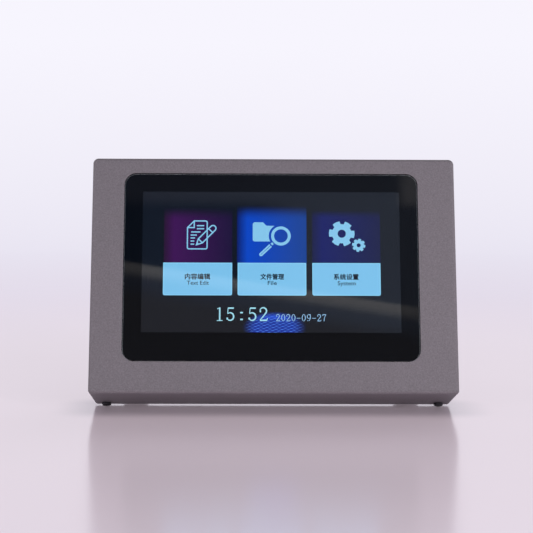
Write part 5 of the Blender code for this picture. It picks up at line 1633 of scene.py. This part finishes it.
@dataclass
class RoundSockets:
    """Three threaded signal sockets with pin inserts."""

    z: float = 15.0
    first_x: float = 40.0
    pitch: float = 16.0
    names: tuple[str, ...] = ("sensor_socket", "encoder_socket", "alarm_socket")
    pins: tuple[int, ...] = (4, 5, 6)
    barrel: float = 5.4
    flange_top: float = 2.1
    barrel_top: float = 8.1
    insert_top: float = 7.1
    ridge: float = 0.22

    def build(self) -> None:
        """Build each socket's barrel, thread, insert and pin holes."""
        core = self.barrel - self.ridge * 0.8
        for index, name in enumerate(self.names):
            x = self.first_x + self.pitch * index
            body = Shape.turned(f"{name}_barrel", ((4.4, self.insert_top - 2.0),
                (4.4, self.barrel_top - 0.25), (4.65, self.barrel_top), (core - 0.3, self.barrel_top),
                (core, self.barrel_top - 0.35), (core, self.flange_top), (6.9, self.flange_top),
                (7.2, self.flange_top - 0.3), (7.2, 0.3), (self.barrel, 0.3), (self.barrel, -10.0),
                (3.6, -10.0), (3.6, self.insert_top - 2.0)), (x, 0.0, self.z))
            for side in (-1, 1):
                body.cut(Shape.box("flat", (16.0, 1.7, 2.0), (x, 1.2, self.z + side * 7.7)))
            body.soften(0.08).settle(NICKEL, [name])
            thread = THREADS.run(Shape(f"{name}_thread", bpy.data.meshes.new(name)), NICKEL, Radius=core,
                Length=self.barrel_top - self.flange_top - 1.3, Pitch=1.0, Ridge=self.ridge)
            thread.item.data.transform(_placed((x, self.flange_top + 0.55, self.z), Facing.BACK))
            thread.settle(NICKEL)
            self._build_insert(name, x, self.pins[index])

    def _build_insert(self, name: str, x: float, count: int) -> None:
        """Build the black insert with its keyway and ring of pins.

        Args:
            name: the socket's name.
            x: its place.
            count: the number of pins.
        """
        insert = Shape.turned(f"{name}_insert", ((0.0, self.insert_top), (3.9, self.insert_top),
            (4.3, self.insert_top - 0.3), (4.3, self.insert_top - 1.9), (3.5, self.insert_top - 1.9),
            (3.5, -9.6), (0.0, -9.6)), (x, 0.0, self.z))
        insert.cut(Shape.box("key", (1.1, 3.0, 1.2), (x, self.insert_top, self.z + 4.0)))
        ring = [(x + 2.5 * sin(tau * (step + 0.5) / count), self.insert_top,
            self.z + 2.5 * cos(tau * (step + 0.5) / count)) for step in range(count)]
        hole = Shape.turned("hole", bar(0.72, 3.0), ORIGIN, Facing.UP, 15)
        insert.cut(COPIES.place("holes", hole, ring, Facing.BACK, BLACK_PLASTIC))
        insert.settle(BLACK_PLASTIC)
        sleeve = Shape.turned("sleeve", ((0.34, -0.3), (0.6, -0.3), (0.6, -1.4), (0.34, -1.4)), ORIGIN,
            Facing.UP, 14)
        COPIES.place(f"{name}_contacts", sleeve, ring, Facing.BACK, GOLD_PLATE).settle(GOLD_PLATE)


@dataclass
class PowerColumn:
    """The power inlet, the rocker switch and the earthing screw."""

    x: float = -71.5
    inlet_z: float = 17.0
    switch_z: float = 43.0
    bezel: Place = (15.0, 2.0, 21.0)
    case: Place = (13.0, 16.0, 19.2)
    pivot_y: float = 0.2
    rocker_radius: float = 6.6
    rocker_width: float = 8.8
    rocker_end: float = 24.0
    valley: float = 1.6
    clearance: float = 0.4
    earth_at: Point = (-60.0, 90.0)

    def build(self) -> None:
        """Build the inlet, the switch and the earthing screw."""
        self._build_inlet()
        self._build_switch()
        self._build_rocker()
        self._build_earth_screw()

    def _build_inlet(self) -> None:
        """Build the direct current inlet and its centre pin."""
        body = Shape.turned("power_inlet_body", ((0.0, -5.3), (2.9, -5.3), (2.9, 3.5), (3.1, 3.7),
            (5.1, 3.7), (5.4, 3.4), (5.4, 2.1), (6.9, 2.1), (7.2, 1.8), (7.2, 0.3), (5.4, 0.3),
            (5.4, -10.0), (0.0, -10.0)), (self.x, 0.0, self.inlet_z), steps=64)
        body.soften(0.1).settle(BLACK_PLASTIC, ["power_socket"])
        pin = Shape.turned("power_inlet_pin", ((0.0, 2.5), (0.55, 2.45), (0.95, 2.1), (1.05, 1.7),
            (1.05, -5.28), (0.0, -5.28)), (self.x, 0.0, self.inlet_z), steps=28)
        pin.settle(NICKEL)

    def _build_switch(self) -> None:
        """Build the bezel and case of the switch round the rocker's well."""
        bezel_y = COVER_FACE + self.bezel[1] / 2
        body = Shape.box("switch_bezel", self.bezel, (self.x, bezel_y, self.switch_z), 1.2, segments=6)
        body.join(Shape.box("case", self.case, (self.x, bezel_y - self.case[1] / 2, self.switch_z), 0.5,
            segments=2))
        well = self.rocker_radius + self.clearance
        body.cut(Shape.box("well", (self.rocker_width + 2 * self.clearance, 2 * well, 2 * well),
            (self.x, self.pivot_y, self.switch_z), 0.3, segments=2))
        body.soften(0.3, 3).settle(BLACK_PLASTIC, ["switch_body"])

    def _build_rocker(self) -> None:
        """Build the rocker with its two moulded signs, on and off."""
        start = -self.rocker_end
        outline = [(-self.rocker_radius * sin(radians(turn)), self.rocker_radius * cos(radians(turn)))
            for turn in [start + (180.0 - 2 * start) * step / 40 for step in range(41)]]
        loop = [(self.valley, 0.0), *outline]
        rocker = Shape.from_bmesh("power_rocker", block([(-self.rocker_width / 2, y, z) for y, z in loop],
            (self.rocker_width, 0.0, 0.0)))
        rocker.soften(0.3, 3, 30.0).settle(ROCKER_PLASTIC, ["switch_rocker"], Body.ROCKER)
        end = Vector(outline[0])
        low = Vector((self.valley, 0.0))
        for name, side, marks in (("power_rocker_on_sign", 1.0, [[(0.0, -1.1), (0.0, 1.1)]]),
                ("power_rocker_off_sign", -1.0, [arc((0.0, 0.0), (1.15, 1.15), 0.0, 348.0, 28)])):
            pen = FlatPen(name)
            for path in marks:
                pen.stroke(path, 0.42, closed=len(path) > 2)
            bmesh.ops.recalc_face_normals(pen.form, faces=pen.form.faces)
            sweep(pen.form, pen.form.faces[:], (0.0, 0.0, 0.08))
            middle = (low + end) / 2
            slope = degrees(atan2(end.x - low.x, end.y - low.y))
            pen.form.transform(Matrix.Translation((0.0, middle.x, side * middle.y))
                @ rotation(-90.0 - side * slope, "X") @ Matrix.Translation((0.0, 0.0, -0.03)))
            Shape.from_bmesh(name, pen.form).settle(MARK_INK, body=Body.ROCKER)

    def _build_earth_screw(self) -> None:
        """Build the brass earthing screw with a cross recess and its toothed washer."""
        x, z = self.earth_at
        screw = Shape.turned("earth_screw", ((0.0, 2.9), (2.5, 2.9), (3.2, 2.5), (3.6, 1.6), (3.6, 0.9),
            (1.45, 0.9), (1.45, -8.6), (1.1, -9.0), (0.0, -9.0)), (x, 0.0, z))
        for size in ((4.2, 2.0, 0.8), (0.8, 2.0, 4.2)):
            screw.cut(Shape.box("wing", size, (x, 2.9, z)))
        screw.soften(0.1).settle(BRASS, ["earth_stud"])
        washer = Shape.turned("earth_screw_washer", ((1.6, 0.3), (1.6, 0.95), (4.2, 0.95), (4.2, 0.3)),
            (x, 0.0, z))
        washer.settle(NICKEL)
        tooth = Shape.box("tooth", (0.9, 0.5, 0.65), ORIGIN)
        points = [((x + 4.45 * cos(turn), 0.62, z + 4.45 * sin(turn)), (cos(turn), 0.0, sin(turn)))
            for turn in (tau * step / 14 for step in range(14))]
        COPIES.place_each("earth_screw_washer_teeth", tooth, points, NICKEL).settle(NICKEL)


# ---------------------------------------------------------------- stand
@dataclass
class Stand:
    """The folding sheet stand with its hinges and rubber feet."""

    leg_x: float = 88.0
    leg_width: float = 12.5
    sheet: float = 2.0
    length: float = 100.0
    bar_top: float = 8.0
    bar_height: float = 18.0
    knuckle: float = 3.4
    pin: float = 1.5
    bore: float = 1.59
    hinge_z: float = 100.0
    hinge_y: float = 5.4
    bracket_wall: float = 1.2
    bracket_height: float = 15.0
    lug: float = 3.9
    side_gap: float = 0.4
    pad: Place = (15.7, 7.0, 12.0)
    sole: float = 3.0
    drop: float = 95.2366           # hinge axis to the floor

    def build(self) -> None:
        """Build the frame, the brackets, the pins and the feet."""
        self._build_frame()
        self._build_brackets()
        self._build_feet()

    def _build_frame(self) -> None:
        """Build the two legs, the crossbar with its filleted corners and the knuckles."""
        end = self.length - self.sole
        outer = self.leg_x + self.leg_width / 2
        inner = self.leg_x - self.leg_width / 2
        top, low = -self.bar_top, -self.bar_top - self.bar_height
        fillet = 4.0
        outline = [(-outer, -1.7), (-outer, -end), (-inner, -end), *arc((-inner + fillet, low - fillet),
            (fillet, fillet), 180.0, 90.0, 8), *arc((inner - fillet, low - fillet), (fillet, fillet), 90.0,
            0.0, 8), (inner, -end), (outer, -end), (outer, -1.7), (inner, -1.7), (inner, top),
            (-inner, top), (-inner, -1.7)]
        plate = Shape.from_bmesh("stand_folded_frame", block([(x, -self.sheet / 2, z) for x, z in outline],
            (0.0, self.sheet, 0.0)))
        for side in (-1, 1):
            at = (side * self.leg_x, 0.0, 0.0)
            plate.join(Shape.turned("knuckle", bar(self.knuckle, self.leg_width), at, Facing.RIGHT))
            plate.cut(Shape.turned("bore", bar(self.bore, 2 * self.leg_width), at, Facing.RIGHT, 32))
        plate.soften(0.25).settle(STAND_PAINT, ["stand_frame"], Body.STAND)

    def _build_brackets(self) -> None:
        """Build the clevis brackets on the cover and the riveted pins through them."""
        inner = self.leg_width / 2 + self.side_gap
        outer = inner + self.bracket_wall
        reach = self.hinge_y - COVER_FACE
        for hand, side in (("left", -1), ("right", 1)):
            x = side * self.leg_x
            bracket = Shape.box(f"hinge_clevis_{hand}", (2 * outer, self.bracket_wall, self.bracket_height),
                (x, COVER_FACE + self.bracket_wall / 2, self.hinge_z), 1.0, segments=4)
            for lug in (-1, 1):
                lug_x = x + lug * (inner + self.bracket_wall / 2)
                bracket.join(Shape.box("web", (self.bracket_wall, reach, 2 * self.lug),
                    (lug_x, COVER_FACE + reach / 2, self.hinge_z)),
                    Shape.turned("lug", bar(self.lug, self.bracket_wall),
                    (lug_x, self.hinge_y, self.hinge_z), Facing.RIGHT))
            bracket.cut(Shape.turned("bore", bar(self.bore, 4 * outer), (x, self.hinge_y, self.hinge_z),
                Facing.RIGHT, 32))
            bracket.soften(0.18).settle(STAND_PAINT, [f"hinge_bracket_{hand}"])
        half = outer + 0.8
        pin = Shape.turned("pin", ((0.0, half), (self.pin - 0.4, half), (self.pin, half - 0.35),
            (self.pin, -half + 0.35), (self.pin - 0.4, -half), (0.0, -half)), ORIGIN, Facing.UP, 32)
        points = [(side * self.leg_x, self.hinge_y, self.hinge_z) for side in (-1, 1)]
        pins = COPIES.place("hinge_riveted_pins", pin, points, Facing.RIGHT, ZINC)
        pins.settle(ZINC, ["hinge_pin_left", "hinge_pin_right"])

    def _build_feet(self) -> None:
        """Mould the two shoes, grooved for grip, with soles that lie flat on the floor."""
        slant = radians(STAND_OPENING - LEAN)
        top = -self.length + self.pad[2]
        for hand, side in (("left", -1), ("right", 1)):
            form = bmesh.new()
            bmesh.ops.create_cube(form, matrix=Matrix.Diagonal((self.pad[0], self.pad[1], 1.0, 1.0)))
            for vert in form.verts:
                vert.co.x += side * self.leg_x
                floor = -(self.drop + vert.co.y * sin(slant)) / cos(slant)
                vert.co.z = top if vert.co.z > 0.0 else floor
            shoe = Shape.from_bmesh(f"foot_shoe_{hand}", form)
            shoe.soften(0.6, 4, 20.0)
            shoe.cut(Shape.box("pocket", (self.leg_width + 0.6, self.sheet + 0.6, 30.0),
                (side * self.leg_x, 0.0, -self.length + self.sole - 0.3 + 15.0)))
            groove = Shape.box("groove", (self.pad[0] - 5.0, 1.0, 0.7), ORIGIN, 0.3, axis=0, segments=3)
            SLOTS.run(shoe, RUBBER, Cutter=groove, Columns=2, Rows=4, Column_Step=(0.0, self.pad[1], 0.0),
                Row_Step=(0.0, 0.0, 1.8), First=(side * self.leg_x, -self.pad[1] / 2, top - 8.0))
            shoe.item.data.shade_smooth()
            shoe.item.data.set_sharp_from_angle(angle=radians(RUBBER_SHARP))
            shoe.settle(RUBBER, [f"foot_pad_{hand}"], Body.STAND)


# ---------------------------------------------------------------- inside the box
class Insides:
    """The CAD nodes inside the box that keep their own shape and get their finish here."""

    finishes: dict[str, Finish] = {
        "glass_tape": FOAM, "display_carrier": ZINC, "lcd_panel": UNLIT_SCREEN,
        "lcd_backlight": CAN_STEEL, "lcd_strap_": CAN_STEEL, "display_ribbon": RIBBON,
        "touch_ribbon": RIBBON, "display_ribbon_socket": BLACK_PLASTIC,
        "touch_ribbon_socket": BLACK_PLASTIC, "main_board": BOARD,
        "processor_heatsink": HEATSINK, "coin_cell": CELL, "coin_cell_holder": BLACK_PLASTIC,
        "buzzer": BLACK_PLASTIC, "storage_capacitor": BLACK_PLASTIC,
        "power_choke": BLACK_PLASTIC, "carrier_nut_": ZINC, "board_screw_": SCREW_ZINC,
        "board_standoff_": BRASS, "sensor_socket_nut": NICKEL, "encoder_socket_nut": NICKEL,
        "alarm_socket_nut": NICKEL, "power_socket_nut": NICKEL,
    }

    def dress(self, nodes: Mapping[str, Item]) -> None:
        """Give each CAD node that still shows its finish.

        Args:
            nodes: the frame's CAD nodes by name.
        """
        for name, node in nodes.items():
            if node.hide_render:
                continue
            finish = self.finishes.get(name)
            if finish is None:
                finish = next(value for key, value in self.finishes.items() if key.endswith("_")
                    and name.startswith(key))
            node.data.materials.clear()
            node.data.materials.append(finish.material())
            LOG.info("%s: %s", name, finish.name)


# ---------------------------------------------------------------- studio
@dataclass
class Lamp:
    """One soft box: an area lamp aimed at the object, out of the mirror of glass and table."""

    name: str
    at: Place
    size: Point
    power: float
    tint: str = "#ffffff"
    aim: Place = (0.0, 0.0, 0.06)

    def build(self) -> None:
        """Hang the lamp and aim it."""
        light = bpy.data.lights.new(self.name, "AREA")
        light.shape = "RECTANGLE"
        light.size, light.size_y = self.size
        light.energy = self.power
        light.color = linear(self.tint)[:3]
        item = place_object(self.name, light)
        item.location = self.at
        item.rotation_euler = (Vector(self.at) - Vector(self.aim)).to_track_quat("Z", "Y").to_euler()
        item.visible_camera = item.visible_glossy = item.visible_transmission = False


@dataclass
class Studio:
    """A glossy pale table that runs up into a pale wall, with soft lamps and a dark card."""

    flat_radius: float = 1.7
    wall_radius: float = 3.0
    wall_height: float = 3.0
    wall_low: str = "#e8e4f1"
    wall_high: str = "#f7f5fe"
    ambient: float = 0.24
    camera_at: Place = (-0.01781, -0.98443, 0.14750)
    yaw: float = -0.8119
    pitch: float = 3.6509
    roll: float = -0.22
    lens: float = 107.757
    sensor: float = 36.0

    def build(self) -> None:
        """Build the table, the wall, the card, the lamps, the world and the camera."""
        self._build_table()
        self._build_wall()
        self._build_card()
        for lamp in (Lamp("front_softbox", (0.26, -1.6, 0.42), (1.2, 0.3), 8.1),
                Lamp("left_strip", (-1.0, -1.3, 0.28), (0.15, 0.5), 5.2),
                Lamp("right_strip", (1.0, -1.3, 0.28), (0.15, 0.5), 10.5),
                Lamp("rear_softbox", (0.35, 0.95, 1.35), (0.7, 0.7), 2.6)):
            lamp.build()
        self._build_world()
        self._build_camera()

    def _build_table(self) -> None:
        """Lay the faintly glowing table, its glow dimmed round the object as a painted contact shadow; far
        from the object it takes on the wall's own light.
        """
        form = bmesh.new()
        bmesh.ops.create_circle(form, cap_ends=True, segments=96, radius=self.flat_radius)
        bmesh.ops.recalc_face_normals(form, faces=form.faces)
        table = self._stage("studio_table", form)
        nodes, add = self._dress(table, "glossy_white_acrylic_sheet")
        shader = nodes["Principled BSDF"]
        place = add("TexCoord").outputs["Object"]
        cloud = add("TexNoise", {"Vector": place, "Scale": 6.0, "Detail": 2.0})
        tone = add("Mix", {0: cloud, 6: "#e7dbe8", 7: "#ece0ed"}, data_type="RGBA")
        feed(shader, {"Base Color": tone, "Roughness": 0.18, "Emission Color": "#786c6f"})
        # painted contact shadow: the table's glow falls to 0.3 of its strength over the object's footprint
        # and comes back to full 32 mm outside it
        clear = place
        for step, value in (("ADD", (0.0, 0.022, 0.0)), ("ABSOLUTE", None),
                ("SUBTRACT", (0.104, 0.014, 0.0)), ("MAXIMUM", ORIGIN)):
            given = {0: clear} if value is None else {0: clear, 1: value}
            clear = add("VectorMath", given, operation=step)
        clear = add("VectorMath", {0: clear}, operation="LENGTH")
        lit = add("MapRange", {"Value": clear, "From Max": 0.032, "To Min": 0.3},
            interpolation_type="SMOOTHSTEP")
        feed(shader, {"Emission Strength": lit})
        distance = add("VectorMath", {0: place}, operation="LENGTH")
        far = add("MapRange", {"Value": distance, "From Min": 0.22, "From Max": 0.95},
            interpolation_type="SMOOTHSTEP")
        reach = add("MapRange", {"Value": distance, "From Min": 0.6, "From Max": self.flat_radius})
        pale = add("Mix", {0: reach, 6: "#e2dae8", 7: self.wall_low}, data_type="RGBA")
        glow = add("Emission", {"Color": pale})
        mixed = add("MixShader", {0: far, 1: shader, 2: glow})
        feed(nodes["Material Output"], {"Surface": mixed})

    def _build_wall(self) -> None:
        """Curve the wall up all round, pale for the eye and for gloss, dim as a light."""
        form = bmesh.new()
        profile = [(self.flat_radius, 0.0)]
        rise = self.wall_radius - self.flat_radius
        profile += [(self.flat_radius + rise * sin(radians(turn)), rise * (1.0 - cos(radians(turn))))
            for turn in range(6, 91, 6)]
        profile.append((self.wall_radius, self.wall_height))
        spin(form, profile, 96, False)
        wall = self._stage("studio_wall", form)
        nodes, add = self._dress(wall, "painted_studio_sweep")
        nodes.remove(nodes["Principled BSDF"])
        place = add("TexCoord").outputs["Object"]
        height = add("SeparateXYZ", {"Vector": place}).outputs["Z"]
        rise_share = add("MapRange", {"Value": height, "From Min": 0.0, "From Max": 0.42})
        eased = add("Math", {0: rise_share, 1: 0.55}, operation="POWER")
        tone = add("Mix", {0: eased, 6: self.wall_low, 7: self.wall_high}, data_type="RGBA")
        seen = self._seen_rays(add)
        strength = add("MapRange", {"Value": seen, "To Min": self.ambient, "To Max": 1.0})
        glow = add("Emission", {"Color": tone, "Strength": strength})
        feed(nodes["Material Output"], {"Surface": glow})

    def _build_card(self) -> None:
        """Hang the dark card that the glass mirrors, with the soft band of a strip light."""
        form = bmesh.new()
        form.faces.new([form.verts.new(corner) for corner in ((-0.75, -0.2, 0.0), (0.75, -0.2, 0.0),
            (0.75, 0.75, 0.0), (-0.75, 0.75, 0.0))])
        form.transform(Matrix.Translation((0.0, -1.35, 0.78)) @ rotation(CARD_TURN, "X"))
        card = self._stage("studio_dark_card", form)
        card.visible_camera = card.visible_diffuse = card.visible_shadow = False
        nodes, add = self._dress(card, "painted_studio_card")
        nodes.remove(nodes["Principled BSDF"])
        place = add("TexCoord").outputs["Object"]
        split = add("SeparateXYZ", {"Vector": place}).outputs
        slope = add("Math", {0: split["X"], 1: 0.135, 2: split["Z"]}, operation="MULTIPLY_ADD")
        shares = {}
        for label, source, start, end in (("over the strip", slope, 0.768, 0.775),
                ("under its edge", slope, 0.775, 0.768), ("strip", slope, 0.748, 0.766),
                ("low", split["Z"], 0.890, 0.868), ("left", split["X"], 0.075, -0.02),
                ("corner", split["X"], 0.21, 0.235), ("high", split["Z"], 0.868, 0.885),
                ("right", split["X"], -0.2, 0.2), ("foot", slope, 0.748, 0.720)):
            shares[label] = add("MapRange", {"Value": source, "From Min": start, "From Max": end},
                interpolation_type="SMOOTHSTEP")
        tone = add("Mix", {0: shares["right"], 6: (0.13, 0.15, 0.225, 1.0), 7: (0.17, 0.20, 0.28, 1.0)},
            data_type="RGBA")
        for parts, shade in ((("over the strip", "low", "left"), (0.05, 0.08, 0.15, 1.0)),
                (("under its edge", "strip"), (0.52, 0.51, 0.54, 1.0)),
                (("corner", "high"), (0.52, 0.52, 0.58, 1.0)), (("foot",), (0.14, 0.14, 0.17, 1.0))):
            share = shares[parts[0]]
            for part in parts[1:]:
                share = add("Math", {0: share, 1: shares[part]}, operation="MULTIPLY")
            tone = add("Mix", {0: share, 6: tone, 7: shade}, data_type="RGBA")
        glow = add("Emission", {"Color": tone})
        feed(nodes["Material Output"], {"Surface": glow})

    def _build_world(self) -> None:
        """Set the pale world above the wall, and the plain Standard view."""
        world = bpy.data.worlds.new("studio_world")
        world.use_nodes = True
        add = partial(add_node, world.node_tree)
        back = world.node_tree.nodes["Background"]
        strength = add("MapRange", {"Value": self._seen_rays(add), "To Min": self.ambient, "To Max": 0.4})
        feed(back, {"Color": "#f4f2fb", "Strength": strength})
        bpy.context.scene.world = world
        bpy.context.scene.view_settings.view_transform = "Standard"

    def _build_camera(self) -> None:
        """Place the camera at the viewing angle, in front and a little above."""
        turn = (rotation(self.yaw, "Z") @ rotation(-self.pitch, "X") @ rotation(self.roll, "Y"))
        camera = bpy.data.cameras.new("studio_camera")
        camera.lens = self.lens
        camera.sensor_width = self.sensor
        item = place_object("studio_camera", camera)
        item.matrix_world = (Matrix.Translation(self.camera_at) @ turn @ rotation(90.0, "X"))
        bpy.context.scene.camera = item

    @staticmethod
    def _seen_rays(add: Adder) -> Node:
        """Return 1 for camera, glossy and transmission rays, and 0 for the rest."""
        path = add("LightPath").outputs
        pair = add("Math", {0: path["Is Camera Ray"], 1: path["Is Glossy Ray"]}, operation="MAXIMUM")
        return add("Math", {0: pair, 1: path["Is Transmission Ray"]}, operation="MAXIMUM")

    @staticmethod
    def _dress(item: Item, name: str) -> tuple[Any, Adder]:
        """Give a piece of the studio a new material; return its nodes and what adds to them."""
        made = bpy.data.materials.new(name)
        made.use_nodes = True
        item.data.materials.append(made)
        return made.node_tree.nodes, partial(add_node, made.node_tree)

    @staticmethod
    def _stage(name: str, form: Form) -> Item:
        """Add a piece of the studio, which isn't part of the object."""
        mesh = bpy.data.meshes.new(name)
        form.to_mesh(mesh)
        form.free()
        mesh.shade_smooth()
        item = place_object(name, mesh)
        return item


def main() -> None:
    """Build every sub-assembly in order, then the studio."""
    logging.basicConfig(level=logging.INFO, format="%(name)s %(message)s")
    for assembly in (FrontHousing(), RearCover(), CoverGlass(), ScreenImage(), PrintheadPort(),
            BoardPorts(), RoundSockets(), PowerColumn(), Stand()):
        LOG.info("building %s", type(assembly).__name__)
        assembly.build()
    Insides().dress(frame["nodes"])
    Studio().build()


if __name__ == "__main__":
    main()
